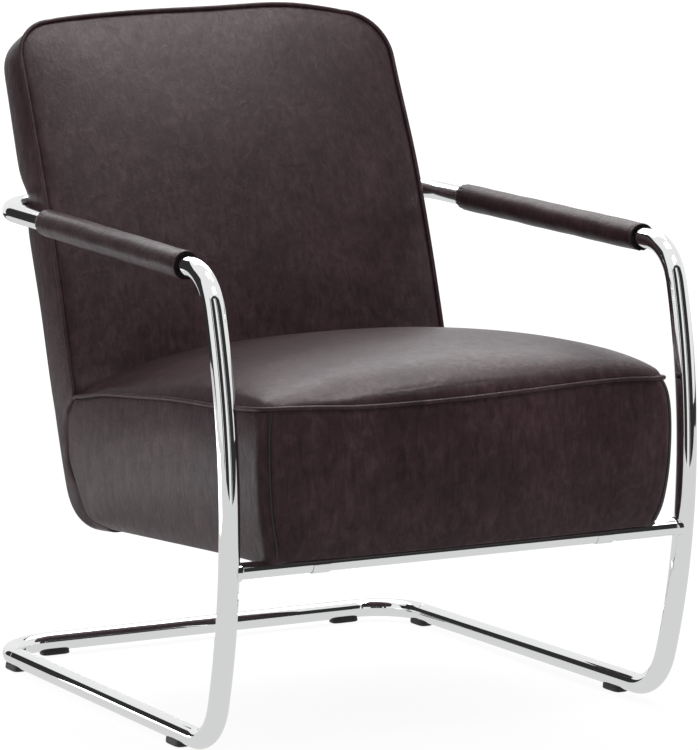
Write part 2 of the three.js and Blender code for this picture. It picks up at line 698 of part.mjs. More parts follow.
// Plywood cheeks: one L-shaped piece on each side
const cheekFront = frameFront + FRONT_RAIL_DEPTH + GAP;
const cheekOuter = inset(outline(cheekFront, backTopShare), SKIN + GAP);
const cheekOutline = [
  ...cheekOuter,
  backFrameFront(backTopShare, BACK_FRAME_DEPTH),
  innerCorner(BACK_FRAME_DEPTH, seatFrameTop),
  { y: cheekFront, z: seatFrameTop(cheekFront) },
];
for (const [name, side] of Object.entries(sides)) {
  const outer = side * frameHalfWidth;
  const inner = side * (frameHalfWidth - CHEEK);
  add(`frame_cheek_${name}`, alongX(cheekOutline, Math.min(outer, inner), Math.max(outer, inner)), plywood);
}

// Rails
const clipScrewY = frameFront + FRONT_RAIL_DEPTH - CLIP_SCREW_HEAD;
const clipScrewTop = bodyBottomAtBar + CLIP_SCREW_LENGTH;
const clipScrewTool = (x) =>
  new THREE.CylinderGeometry(CLIP_SCREW / 2 + GAP, CLIP_SCREW / 2 + GAP, CLIP_SCREW_LENGTH * 2, SMALL_SIDES)
    .rotateX(Math.PI / 2)
    .translate(x, clipScrewY, clipScrewTop + GAP - CLIP_SCREW_LENGTH);
const clipScrewTools = [clipScrewTool(-CLIP_SPREAD), clipScrewTool(CLIP_SPREAD)];
const frontRail = alongX(
  [
    { y: frameFront, z: bodyBottomAtBar },
    { y: frameFront + FRONT_RAIL_DEPTH, z: bodyBottomAtBar },
    { y: frameFront + FRONT_RAIL_DEPTH, z: seatFrameTop(frameFront + FRONT_RAIL_DEPTH) },
    { y: frameFront, z: seatFrameTop(frameFront) },
  ],
  -frameHalfWidth,
  frameHalfWidth,
);
add("front_rail", cut(frontRail, ...clipScrewTools), plywood);

const betweenCheeks = frameHalfWidth - CHEEK - GAP;
const rearRailBack = filletCentre.y - REAR_RAIL_INSET;
const rearRailY = [rearRailBack - RAIL, rearRailBack];
add(
  "rear_seat_rail",
  alongX(
    [
      { y: rearRailY[0], z: bottomZ(rearRailY[0]) + SKIN + GAP },
      { y: rearRailY[1], z: bottomZ(rearRailY[1]) + SKIN + 2 * GAP },
      { y: rearRailY[1], z: seatFrameTop(rearRailY[1]) },
      { y: rearRailY[0], z: seatFrameTop(rearRailY[0]) },
    ],
    -betweenCheeks,
    betweenCheeks,
  ),
  plywood,
);

// A rail across the back, against the outer back panel, centred at a share of the outer back's length
function backRail(share, height, depth) {
  const half = height / 2 / outerLength;
  const rear = [outerPoint(share - half), outerPoint(share), outerPoint(share + half)];
  const near = inset(rear, SKIN + GAP);
  const far = inset(rear, SKIN + GAP + depth);
  return alongX([...near, far[2], far[0]], -betweenCheeks, betweenCheeks);
}

const boltShare = (boltZ - outerLow.z) / (outerTop.z - outerLow.z);
add("lumbar_rail", cut(backRail(boltShare, LUMBAR_RAIL_HEIGHT, RAIL), ...boltTools), plywood);
const topRailShare = 0.31659178; // of the room over the lumbar rail
const topRailRoom = (backTopShare - boltShare) * outerLength - LUMBAR_RAIL_HEIGHT / 2;
const topRailHeight = topRailRoom * topRailShare;
add("top_rail", backRail(backTopShare - topRailHeight / outerLength, topRailHeight, RAIL), plywood);

// Webbing straps
const seatStrapY = [frameFront, rearRailBack];
for (let i = 0; i < SEAT_STRAPS; i++) {
  const x = (i - (SEAT_STRAPS - 1) / 2) * SEAT_STRAP_PITCH;
  const strap = alongX(
    [
      { y: seatStrapY[0], z: seatFrameTop(seatStrapY[0]) + GAP },
      { y: seatStrapY[1], z: seatFrameTop(seatStrapY[1]) + GAP },
      { y: seatStrapY[1], z: seatFrameTop(seatStrapY[1]) + GAP + STRAP },
      { y: seatStrapY[0], z: seatFrameTop(seatStrapY[0]) + GAP + STRAP },
    ],
    x - STRAP_WIDTH / 2,
    x + STRAP_WIDTH / 2,
  );
  add(`seat_strap_${i + 1}`, strap, webbing);
}
const lastStrap = backTopShare * outerLength - BACK_STRAP_DROP - STRAP_WIDTH;
for (let i = 0; i < BACK_STRAPS; i++) {
  const start = mix(BACK_STRAP_START, lastStrap, i / (BACK_STRAPS - 1)) / outerLength;
  const end = start + STRAP_WIDTH / outerLength;
  const strap = alongX(
    [
      backFrameFront(start, BACK_FRAME_DEPTH + GAP),
      backFrameFront(end, BACK_FRAME_DEPTH + GAP),
      backFrameFront(end, BACK_FRAME_DEPTH + GAP + STRAP),
      backFrameFront(start, BACK_FRAME_DEPTH + GAP + STRAP),
    ],
    -frameHalfWidth,
    frameHalfWidth,
  );
  add(`back_strap_${i + 1}`, strap, webbing);
}

// Outer back panel, turned under the seat, and the dust cover in front of it
const panelOuter = outline(-PANEL_FRONT, backTopShare);
const panel = alongX([...panelOuter, ...inset(panelOuter, SKIN).reverse()], -frameHalfWidth, frameHalfWidth);
add("outer_back_panel", cut(panel, ...boltTools), leather);
const coverY = [cheekFront, -PANEL_FRONT - GAP];
add(
  "dust_cover",
  alongX(
    [
      { y: coverY[0], z: bottomZ(coverY[0]) },
      { y: coverY[1], z: bottomZ(coverY[1]) },
      { y: coverY[1], z: bottomZ(coverY[1]) + SKIN },
      { y: coverY[0], z: bottomZ(coverY[0]) + SKIN },
    ],
    -frameHalfWidth,
    frameHalfWidth,
  ),
  blackFabric,
);

// Clips that hold the front rail to the crossbar
const clipInner = crossbarRadius + GAP;
const clipOuter = clipInner + CLIP_THICKNESS;
const flangeTop = bodyBottomAtBar - GAP;

function clipOutline() {
  const points = [];
  const arc = (radius, from, to) => {
    for (let i = 0; i <= BEND_STEPS; i++) {
      const angle = mix(from, to, i / BEND_STEPS);
      points.push({ y: crossbarY + radius * Math.cos(angle), z: CROSSBAR_HEIGHT + radius * Math.sin(angle) });
    }
  };
  arc(clipOuter, -Math.PI, 0);
  points.push({ y: crossbarY + clipOuter, z: flangeTop - CLIP_THICKNESS });
  points.push({ y: frameFront + FRONT_RAIL_DEPTH, z: flangeTop - CLIP_THICKNESS });
  points.push({ y: frameFront + FRONT_RAIL_DEPTH, z: flangeTop });
  points.push({ y: crossbarY + clipInner, z: flangeTop });
  arc(clipInner, 0, -Math.PI);
  return points;
}

function clipScrew() {
  const profile = [
    new THREE.Vector2(0, -CLIP_SCREW_HEAD_HEIGHT),
    new THREE.Vector2(CLIP_SCREW / 2, -CLIP_SCREW_HEAD_HEIGHT),
    new THREE.Vector2(CLIP_SCREW_HEAD / 2, 0),
    new THREE.Vector2(CLIP_SCREW / 2, 0),
    new THREE.Vector2(CLIP_SCREW / 2, CLIP_SCREW_LENGTH - CLIP_SCREW_HEAD_HEIGHT),
    new THREE.Vector2(0, CLIP_SCREW_LENGTH - CLIP_SCREW_HEAD_HEIGHT),
  ];
  return new THREE.LatheGeometry(profile, SMALL_SIDES).rotateX(Math.PI / 2);
}

for (const [name, side] of Object.entries(sides)) {
  const x = side * CLIP_SPREAD;
  const clip = alongX(clipOutline(), x - CLIP_WIDTH / 2, x + CLIP_WIDTH / 2);
  add(`crossbar_clip_${name}`, cut(clip, ...clipScrewTools), steel);
  add(`clip_screw_${name}`, clipScrew(), steel).position.set(x, clipScrewY, flangeTop - CLIP_THICKNESS - GAP);
}

// Bolts and spacers that hold the lumbar rail to the rear arm tube
const boltHeadShares = [
  [1, 0],
  [0.84, 0.7],
  [0.4, 1],
  [0, 1],
];

function bolt() {
  const profile = [
    new THREE.Vector2(0, -BOLT_LENGTH),
    new THREE.Vector2(BOLT / 2, -BOLT_LENGTH),
    new THREE.Vector2(BOLT / 2, 0),
  ];
  for (const [wide, high] of boltHeadShares)
    profile.push(new THREE.Vector2((wide * BOLT_HEAD) / 2, high * BOLT_HEAD_HEIGHT));
  return new THREE.LatheGeometry(profile, SMALL_SIDES);
}

const bodySide = alongX(
  [...outline(-PANEL_FRONT, 1), { y: -PANEL_FRONT, z: outerTop.z }],
  -frameHalfWidth,
  frameHalfWidth,
).translate(0, GAP, 0);
const armTool = sweep(tubeTool, armHoop);
for (const [name, side] of Object.entries(sides)) {
  const x = side * BOLT_SPREAD;
  add(`back_bolt_${name}`, bolt(), chrome).position.set(x, -ARM_BACK + tubeRadius + GAP, boltZ);
  const blank = cylinderAlongY(SPACER / 2, -ARM_BACK - SPACER, -ARM_BACK, x, boltZ, TUBE_SIDES);
  add(`back_spacer_${name}`, cut(blank, armTool, bodySide, ...boltTools), blackPlastic);
}

// Welt: one cord round the back's front edge and the seat's top edge, joined at the left of the crease
const quarterTurn = (share) => [Math.cos((share * Math.PI) / 2), Math.sin((share * Math.PI) / 2)];
const backNormal = new THREE.Vector3(0, -Math.sin(outerAngle), Math.cos(outerAngle));
const creaseShares = [0, 0.2, 0.4, 0.6, 0.8, 1];

// From the crease up the left side of the back and over to the middle of its top
function backWelt() {
  const points = [];
  const edge = new THREE.Vector3();
  const last = backRows.length - 1;
  const corner = last - CORNER_STEPS;
  for (let row = skirtShares.length + 1; row <= last; row++) {
    placeBack(-1, 0, row, edge);
    const [out, up] = quarterTurn(Math.max(0, row - corner) / CORNER_STEPS);
    points.push(new THREE.Vector3(-out, 0, up).add(backNormal).multiplyScalar(weltStandoff).add(edge));
  }
  for (let column = 1; column <= COLUMNS / 2; column++) {
    placeBack(columnShare(column), 0, last, edge);
    points.push(new THREE.Vector3(0, 0, 1).add(backNormal).multiplyScalar(weltStandoff).add(edge));
  }
  return points;
}

// From the crease forward along the left side of the seat and round to the middle of its front
function seatWelt() {
  const points = [];
  const edge = new THREE.Vector3();
  const top = seatRiseShares.length - 1;
  const visible = seatDepthShares.filter((share) => share < creaseShare);
  for (let depth = visible.length - 1; depth >= 0; depth--) {
    placeSeat(-1, depth, top, edge);
    const [out, ahead] = quarterTurn(Math.max(0, 1 - depth / 2));
    points.push(new THREE.Vector3(-out, -ahead, 1).multiplyScalar(weltStandoff).add(edge));
  }
  for (let column = 1; column <= COLUMNS / 2; column++) {
    placeSeat(columnShare(column), 0, top, edge);
    points.push(new THREE.Vector3(0, -1, 1).multiplyScalar(weltStandoff).add(edge));
  }
  return points;
}

// The tight turn at the crease, from the back's edge to the seat's edge
function creaseTurn(above, ahead) {
  const up = new THREE.Vector3(0, Math.cos(outerAngle), Math.sin(outerAngle));
  const forward = new THREE.Vector3(0, ahead.y + CREASE_BACK, ahead.z - CREASE_HEIGHT).normalize();
  const corner = new THREE.Vector3(above.x, -CREASE_BACK - weltStandoff, CREASE_HEIGHT + weltStandoff);
  const start = corner.clone().addScaledVector(up, WELT_TURN);
  const end = corner.clone().addScaledVector(forward, WELT_TURN);
  const curve = new THREE.QuadraticBezierCurve3(start, corner, end);
  return creaseShares.map((share) => curve.getPoint(share));
}

function weltPoints() {
  const onBack = backWelt();
  const onSeat = seatWelt();
  const crease = creaseTurn(onBack[0], onSeat[0]);
  const middle = crease.length / 2;
  const backHalf = [...crease.slice(0, middle).reverse(), ...onBack];
  const seatHalf = [...crease.slice(middle), ...onSeat];
  const mirror = (list) => list.map((p) => new THREE.Vector3(-p.x, p.y, p.z));
  return [
    ...backHalf,
    ...mirror(backHalf).reverse().slice(1),
    ...mirror(seatHalf),
    ...seatHalf.reverse().slice(1),
  ];
}

function weltStations() {
  const points = weltPoints();
  return points.map((point, i) => {
    const before = points[Math.max(i - 1, 0)];
    const after = points[Math.min(i + 1, points.length - 1)];
    return { point, direction: after.clone().sub(before).normalize() };
  });
}

add("welt", sweep(ring(weltRadius, 0, WELT_SIDES), weltStations()), weltLeather);

// Stands the chair centred on the origin.
const reach = seatReach + FRONT_BULGE + weltStandoff + weltRadius;
chair.position.y = (reach - tubeRadius) / 2;

export default chair;
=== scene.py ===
"""The looks of a cantilever lounge chair: chrome tubes, welted leather body, arm pads and fittings.

Metres, +Z up, -Y to the front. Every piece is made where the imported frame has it.
"""

import math

import bpy
import numpy as np
from bpy.props import FloatProperty, FloatVectorProperty, IntProperty, PointerProperty
from mathutils import Euler, Matrix, Vector


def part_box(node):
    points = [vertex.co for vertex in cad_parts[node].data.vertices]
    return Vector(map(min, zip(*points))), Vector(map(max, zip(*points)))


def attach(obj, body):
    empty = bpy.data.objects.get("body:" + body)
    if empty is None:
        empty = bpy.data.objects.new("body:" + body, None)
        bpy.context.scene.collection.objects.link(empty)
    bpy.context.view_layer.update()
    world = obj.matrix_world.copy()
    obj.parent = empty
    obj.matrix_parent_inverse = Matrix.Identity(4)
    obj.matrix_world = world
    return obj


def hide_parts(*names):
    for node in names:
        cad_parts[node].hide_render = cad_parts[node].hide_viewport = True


bl_info = {
    "name": "Cantilever Lounge Chair",
    "version": (1, 0, 0),
    "blender": (4, 5, 0),
    "location": "3D Viewport > Sidebar > Lounge Chair",
    "description": "Builds a cantilever lounge chair with a chrome tube loop and a welted leather body",
    "category": "Add Mesh",
}

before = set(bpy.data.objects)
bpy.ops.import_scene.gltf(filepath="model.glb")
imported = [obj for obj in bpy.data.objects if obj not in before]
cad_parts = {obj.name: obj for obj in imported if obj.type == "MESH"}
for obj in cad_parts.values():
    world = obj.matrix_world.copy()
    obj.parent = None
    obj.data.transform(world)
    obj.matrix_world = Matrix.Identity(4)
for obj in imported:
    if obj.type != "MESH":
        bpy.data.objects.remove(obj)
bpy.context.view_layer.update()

MM = 0.001
BODY = "root"
SIDES = {"left": -1, "right": 1}

# Places that the frame gives
base_low, base_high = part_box("rear_base_tube")
bar_low, bar_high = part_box("front_crossbar")
tube_diameter = base_high.z - base_low.z
rear_y = base_high.y - tube_diameter / 2


def length(name, description, millimetres):
    """A size property, given in millimetres."""
    return FloatProperty(name=name, description=description, default=millimetres * MM, unit="LENGTH")


def turn(name, description, degrees):
    """An angle property, given in degrees."""
    radians = math.radians(degrees)
    return FloatProperty(name=name, description=description, default=radians, subtype="ANGLE")


def colour(name, description, red, green, blue):
    """A colour property, given in scene linear values."""
    return FloatVectorProperty(
        name=name,
        description=description,
        subtype="COLOR",
        size=3,
        min=0.0,
        max=1.0,
        default=(red, green, blue),
    )


class ChairTubeSizes(bpy.types.PropertyGroup):
    """Sizes of the tube loop. Distances back and forward are from the rear base tube."""

    diameter: FloatProperty(
        name="Diameter",
        description="Outer diameter of the loop's tube",
        default=tube_diameter,
        unit="LENGTH",
    )
    sides: IntProperty(name="Sides", description="Faces round a tube", default=40)
    base_bend: length("Base bend", "Radius of the rear base corners", 75)
    base_seam: length("Base seam", "Distance of the butt seam ahead of the rear base tube", 86)
    lower_bend: length("Lower bend", "Radius between runner and upright", 76)
    upper_bend: length("Upper bend", "Radius between upright and arm", 64)
    bow_radius: length("Bow radius", "Radius of the forward bow of the uprights", 780)
    bow_reach: length("Bow reach", "Foremost point of the bow's centre line", 776)
    bow_height: length("Bow height", "Height of the foremost point", 342)
    splay: turn("Splay", "Outward lean of the side frames", 0.556)
    arm_height: length("Arm height", "Arm centre line above the rear base tube", 617)
    arm_tilt: turn("Arm tilt", "Rise of the arms to the rear", 3.26)
    arm_bend: length("Arm bend", "Radius of the rear arm corners", 108)
    arm_back: length("Arm rear", "Distance of the rear arm tube ahead of the rear base tube", 36)
    arm_seam: length("Arm seam", "Distance of the arm's butt seam ahead of the rear base tube", 260)
    end_chamfer: length("End chamfer", "Chamfer of a tube's end at a butt seam", 0.5)
    weld: length("Weld", "Height of the weld fillet at the crossbar's ends", 2.2)


class ChairBodySizes(bpy.types.PropertyGroup):
    """Sizes of the upholstered body. Distances back and forward are from the rear base tube."""

    seat_front: length("Seat front", "Front welt edge", 800)
    seat_height: length("Seat height", "Front welt edge above the floor", 418)
    seat_half: length("Seat half-width", "Half the seat's width at the welt", 270)
    seat_crown: length("Seat crown", "Rise of the seat's top over its welt, in its middle", 73)
    seat_lean: FloatProperty(
        name="Seat lean",
        description="Share by which the crown is fuller on the right-hand side",
        default=0.085,
    )
    seat_bulge: length("Seat side bulge", "Swell of the side panels", 4)
    side_bow: length("Side bow", "Upward bow of the side welt", 6)
    side_hang: length("Side hang", "How far the side's lower edge hangs beside the frame", 7)
    seat_tuck: length("Seat tuck", "How far the lower edge is drawn in", 14)
    front_tuck: length("Front tuck", "How far the front's lower edge is drawn back", 11)
    front_hang: length("Front hang", "How far the front's lower edge hangs before the crossbar", 4)
    corner_inset: length("Corner inset", "How far the front corners are drawn in", 3)
    corner_radius: length("Corner radius", "Radius of the seat's front corners", 22)
    corner_seam_shade: turn("Corner seam", "Turn of the front corner at which its seam lies", 50)
    right_swell: length("Right corner's swell", "Fullness of the seat's right front corner", 8.5)
    front_puff: length("Front puff", "How far the front swells beside its corners", 4)
    front_bulge: length("Front bulge", "Swell of the front, seen from above", 8)
    face_bulge: length("Face bulge", "Swell of the front, seen from the side", 5)
    crease_back: length("Crease", "Where the seat's welt meets the back's", 225)
    crease_height: length("Crease height", "Height of that place", 376)
    back_half: length("Back half-width", "Half the back's width at the welt", 271)
    back_top: length("Back top", "Front top edge of the back", 57)
    back_height: length("Back height", "Height of the front top edge", 850)
    top_crown: length("Top crown", "Rise of the back's top edge in the middle", 11)
    top_lean: length("Top lean", "Extra rise of the top edge right of the middle", 6)
    top_swell: length("Top swell", "Swell of the top boxing from front to rear", 4)
    right_draw: length("Right draw", "How far the right edge is drawn in, towards the top", 3)
    right_corner: length("Right corner", "Radius of the back's top right corner", 62)
    back_corner: length("Back corner", "Radius of the back's top corners", 48)
    back_crown: length("Back crown", "Swell of the back's front panel", 24)
    back_bow: length("Back bow", "Forward bow of the back's side edges", 13)
    back_bulge: length("Back side bulge", "Swell of the boxing", 3)
    rear_radius: length("Rear radius", "Radius of the back's rear corners", 21)
    low_radius: length("Low rear radius", "Radius of these corners beside the seat", 8)
    dent: length("Tube dent", "Extra rounding where the arm tube passes the rear corners", 26)
    dent_reach: length("Dent reach", "Half-height of that rounding", 24)
    outer_top_back: length("Outer top", "Rear top edge, behind the rear base tube", 11.5)
    outer_top_height: length("Outer top height", "Height of the rear top edge", 826)
    outer_low_back: length("Outer low", "Where the outer back's straight run starts", 160)
    outer_low_height: length("Outer low height", "Height of that place", 340)
    outer_bow: length("Outer bow", "Rearward bow of the outer back", 5)
    outer_fillet: length("Outer fillet", "Radius of the rear bottom corner", 66)
    skirt_reach: length("Skirt reach", "Where the boxing runs out under the seat", 302)
    skirt: length("Skirt", "Depth of the boxing at the rear bottom corner", 42)
    panel_front: length("Panel front", "Where the outer back panel meets the dust cover", 330)
    panel_half: length("Panel half-width", "Half the width of the outer back panel", 234)
    panel_top_drop: length("Panel top", "Distance of the panel's top edge under the rear top edge", 31)
    bottom_slope: FloatProperty(
        name="Bottom slope",
        description="Fall of the body's underside to the rear",
        default=0.0693,
    )


class ChairTrimSizes(bpy.types.PropertyGroup):
    """Sizes of welts, stitches, pads and fittings."""

    welt: length("Welt", "Diameter of the welt cord", 5.6)
    welt_stand: length("Welt stand", "How far the cord stands off the edge, each way", 1.5)
    stitch_pitch: length("Stitch pitch", "Distance between stitches", 5)
    stitch_length: length("Stitch length", "Visible length of a stitch", 3.4)
    # Half the width of the black cord in each front corner seam, which is painted shade of the seam's
    # crease
    seam_shade_width: length("Seam line", "Half the width of the dark line in a corner seam", 1.0)
    thread: length("Thread", "Diameter of the sewing thread", 0.7)
    topstitch: length("Topstitch", "Distance of the topstitch from the welt's seam", 7)
    pad_front: length("Pad front", "Front end of the arm pads, ahead of the rear base tube", 672)
    pad_length: length("Pad length", "Length of an arm pad", 462)
    pad_slip: length("Pad slip", "How far ahead of the right pad the left one sits", 5)
    pad_pull: length("Pad pull", "How much the left pad's leather is pushed together", 26)
    pad_radius: length("Pad radius", "Outer radius of an arm pad", 17.2)
    pad_leather: length("Pad leather", "Thickness of the pad's leather", 1.6)
    pad_lip: length("Pad lip", "How far the leather runs past the foam", 3)
    pad_rounding: length("Pad rounding", "Rounding of the pad's rear end", 10)
    glide_length: length("Glide length", "Length of a floor glide", 40)
    glide_width: length("Glide width", "Width of a floor glide", 20)


class ChairColours(bpy.types.PropertyGroup):
    """Colours, in scene linear values."""

    leather: colour("Leather", "Main tone of the leather", 0.036, 0.0175, 0.0205)
    leather_light: colour("Leather light", "Worn, lighter tone", 0.064, 0.036, 0.04)
    leather_dark: colour("Leather dark", "Deeper tone", 0.019, 0.009, 0.0115)
    thread: colour("Thread", "Sewing thread", 0.05, 0.032, 0.03)
    chrome: colour("Chrome", "Polished chrome", 0.88, 0.885, 0.89)
    plastic: colour("Plastic", "Glides and spacers", 0.012, 0.012, 0.012)
    floor: colour("Floor", "Studio floor and backdrop", 0.55, 0.55, 0.55)


class LoungeChairSettings(bpy.types.PropertyGroup):
    """All that a user would change."""

    tube: PointerProperty(type=ChairTubeSizes)
    body: PointerProperty(type=ChairBodySizes)
    trim: PointerProperty(type=ChairTrimSizes)
    colours: PointerProperty(type=ChairColours)


def settings():
    """The chair's settings on the current scene."""
    return bpy.context.scene.lounge_chair


# Shader graphs


class Socket:
    """An output socket that takes part in sums, so that 1 - mask adds a Math node."""

    def __init__(self, graph, socket):
        self.graph = graph
        self.socket = socket

    def __add__(self, other):
        return self.graph.math("ADD", self, other)

    def __sub__(self, other):
        return self.graph.math("SUBTRACT", self, other)

    def __mul__(self, other):
        return self.graph.math("MULTIPLY", self, other)

    def __rsub__(self, other):
        return self.graph.math("SUBTRACT", other, self)

    __radd__ = __add__
    __rmul__ = __mul__


class Graph:
    """The node tree of a material or world, written as calls."""

    def __init__(self, name, kind="materials"):
        self.owner = getattr(bpy.data, kind).new(name)
        self.owner.use_nodes = True
        self.tree = self.owner.node_tree
        self.tree.nodes.clear()

    def node(self, kind, options=None, stops=None, values=(), **sockets):
        """Adds a node: options and a ramp's stops first, then its sockets, in order or by name."""
        made = self.tree.nodes.new(kind)
        for key, value in (options or {}).items():
            setattr(made, key, value)
        for i, (place, tone) in enumerate(stops or []):
            steps = made.color_ramp.elements
            step = steps[i] if i < len(steps) else steps.new(place)
            step.position = place
            step.color = (*tone, 1)
        for socket, value in zip(made.inputs, values):
            self.feed(socket, value)
        for key, value in sockets.items():
            self.feed(made.inputs[key.replace("_", " ")], value)
        return made

    def feed(self, socket, value):
        """Links or sets one input."""
        if isinstance(value, Socket):
            self.tree.links.new(value.socket, socket)
        elif socket.type == "RGBA":
            socket.default_value = (*value, 1)
        else:
            socket.default_value = value

    def out(self, made, name):
        """One output of a node, ready for sums."""
        return Socket(self, made.outputs[name])

    def math(self, operation, first, second=0.0):
        """A Math node."""
        made = self.node("ShaderNodeMath", {"operation": operation}, values=(first, second))
        return Socket(self, made.outputs[0])

    def clamp(self, value, low=0.0, high=1.0):
        """A value held between two limits."""
        return self.math("MAXIMUM", self.math("MINIMUM", value, high), low)

    def mapped(self, turned=(0.0, 0.0, 0.0), stretched=(1.0, 1.0, 1.0)):
        """The piece's own coordinates, turned and stretched."""
        own = self.out(self.node("ShaderNodeTexCoord"), "Object")
        made = self.node("ShaderNodeMapping", Vector=own, Rotation=turned, Scale=stretched)
        return self.out(made, "Vector")

    def noise(self, where, scale, detail=4.0, rough=0.55, bent=0.0):
        """A Noise Texture's value."""
        values = {"Vector": where, "Scale": scale, "Detail": detail}
        made = self.node("ShaderNodeTexNoise", Roughness=rough, Distortion=bent, **values)
        return self.out(made, "Fac")

    def ramp(self, value, stops):
        """A colour from a value."""
        return self.out(self.node("ShaderNodeValToRGB", stops=stops, Fac=value), "Color")

    def bump(self, height, strength, distance):
        """A normal from a height in metres times distance."""
        made = self.node("ShaderNodeBump", Height=height, Strength=strength, Distance=distance)
        return self.out(made, "Normal")

    def finish(self, **sockets):
        """Ends the graph in one Principled shader and returns the material."""
        shader = self.node("ShaderNodeBsdfPrincipled", **sockets)
        self.node("ShaderNodeOutputMaterial", Surface=self.out(shader, "BSDF"))
        return self.owner


made_materials = {}


def material(name):
    """A named material, made once."""
    if name not in made_materials:
        made_materials[name] = MATERIAL_MAKERS[name]()
    return made_materials[name]


# The leather's drawn streaks: their slant, and their scale across and along it
STREAK_SLANT = math.radians(-24)
STREAK_SCALES = (110.0, 110.0, 30.0)


def leather_material():
    """Aubergine-brown waxed leather: cloudy tone, drawn streaks and a fine pebble grain."""
    tones = settings().colours
    graph = Graph("leather")
    own = graph.mapped()
    drawn = graph.mapped(turned=(0.0, STREAK_SLANT, 0.0), stretched=STREAK_SCALES)
    clouds = graph.noise(own, scale=7.0, detail=5.0, rough=0.6, bent=0.4)
    patches = graph.noise(own, scale=55.0, detail=6.0, rough=0.68, bent=0.6)
    streaks = graph.noise(drawn, scale=1.0, detail=5.0, rough=0.66, bent=0.9)
    tone = graph.clamp(clouds * 0.34 + patches * 0.36 + streaks * 0.46 - 0.08)
    stops = [(0.36, tones.leather_dark), (0.5, tones.leather), (0.66, tones.leather_light)]
    edges = {"feature": "DISTANCE_TO_EDGE"}
    cells = graph.node("ShaderNodeTexVoronoi", edges, Vector=own, Scale=620.0)
    pebble = graph.clamp(graph.out(cells, "Distance") * 3.2)
    creases = graph.noise(own, scale=150.0, detail=3.0, rough=0.6, bent=0.3)
    height = pebble * 0.22 + creases * 0.6 + streaks * 1.1 + patches * 1.6
    rough = 0.48 - streaks * 0.2 - patches * 0.12 + (1 - pebble) * 0.06
    return graph.finish(
        Base_Color=graph.ramp(tone, stops),
        Roughness=graph.clamp(rough, 0.2, 0.9),
        Specular_IOR_Level=0.15,
        Normal=graph.bump(height, strength=0.32, distance=0.0011),
    )


def thread_material():
    """Twisted sewing thread."""
    graph = Graph("thread")
    strands = graph.noise(graph.mapped(), scale=2600.0, detail=2.0)
    return graph.finish(
        Base_Color=settings().colours.thread[:],
        Roughness=0.55 + strands * 0.2,
        Normal=graph.bump(strands, strength=0.4, distance=0.0002),
    )


def chrome_material():
    """Bright polished chrome with a trace of haze."""
    graph = Graph("chrome")
    haze = graph.noise(graph.mapped(), scale=18.0, detail=4.0, rough=0.6)
    return graph.finish(
        Base_Color=settings().colours.chrome[:],
        Metallic=1.0,
        Roughness=0.022 + haze * 0.03,
    )


def steel_material():
    """Zinc-plated steel of clips, screws and spigots."""
    graph = Graph("zinc_steel")
    grain = graph.noise(graph.mapped(stretched=(1.0, 6.0, 1.0)), scale=160.0, detail=3.0)
    return graph.finish(
        Base_Color=(0.46, 0.47, 0.48),
        Metallic=1.0,
        Roughness=0.26 + grain * 0.2,
        Normal=graph.bump(grain, strength=0.2, distance=0.0002),
    )


def plastic_material():
    """Moulded matt black plastic."""
    graph = Graph("black_plastic")
    grain = graph.noise(graph.mapped(), scale=900.0, detail=3.0)
    return graph.finish(
        Base_Color=settings().colours.plastic[:],
        Roughness=0.42 + grain * 0.2,
        Normal=graph.bump(grain, strength=0.25, distance=0.0002),
    )


def foam_material():
    """Closed-cell black foam."""
    graph = Graph("black_foam")
    own = graph.mapped()
    cells = graph.node("ShaderNodeTexVoronoi", {"feature": "F1"}, Vector=own, Scale=900.0)
    depth = graph.out(cells, "Distance")
    return graph.finish(
        Base_Color=(0.006, 0.006, 0.006),
        Roughness=0.85 + depth * 0.1,
        Normal=graph.bump(depth, strength=0.6, distance=0.0004),
    )


def plywood_material():
    """Birch plywood with its grain along the length."""
    graph = Graph("plywood")
    lengthwise = graph.mapped(stretched=(3.0, 60.0, 60.0))
    grain = graph.noise(lengthwise, scale=2.0, detail=6.0, rough=0.6, bent=0.6)
    stops = [(0.3, (0.42, 0.27, 0.13)), (0.7, (0.62, 0.44, 0.25))]
    return graph.finish(
        Base_Color=graph.ramp(grain, stops),
        Roughness=0.55 + grain * 0.15,
        Normal=graph.bump(grain, strength=0.3, distance=0.0004),
    )


def webbing_material():
    """Elastic webbing with its ribs."""
    graph = Graph("webbing")
    own = graph.mapped()
    slanting = {"bands_direction": "DIAGONAL"}
    ribs = graph.node("ShaderNodeTexWave", slanting, Vector=own, Scale=160.0, Distortion=0.6)
    rib = graph.out(ribs, "Fac")
    stops = [(0.2, (0.006, 0.006, 0.006)), (0.8, (0.02, 0.019, 0.018))]
    return graph.finish(
        Base_Color=graph.ramp(rib, stops),
        Roughness=0.85,
        Normal=graph.bump(rib, strength=0.5, distance=0.0008),
    )


def dust_cover_material():
    """Thin black non-woven cloth."""
    graph = Graph("dust_cloth")
    fibres = graph.noise(graph.mapped(), scale=700.0, detail=6.0, rough=0.7, bent=1.2)
    stops = [(0.3, (0.006, 0.006, 0.006)), (0.75, (0.022, 0.022, 0.022))]
    return graph.finish(
        Base_Color=graph.ramp(fibres, stops),
        Roughness=0.9,
        Normal=graph.bump(fibres, strength=0.5, distance=0.0005),
    )


MATERIAL_MAKERS = {
    "leather": leather_material,
    "thread": thread_material,
    "chrome": chrome_material,
    "steel": steel_material,
    "plastic": plastic_material,
    "foam": foam_material,
    "plywood": plywood_material,
    "webbing": webbing_material,
    "dust_cover": dust_cover_material,
}


# Meshes


def add_object(name, data):
    """An object on the scene."""
    made = bpy.data.objects.new(name, data)
    bpy.context.scene.collection.objects.link(made)
    return made


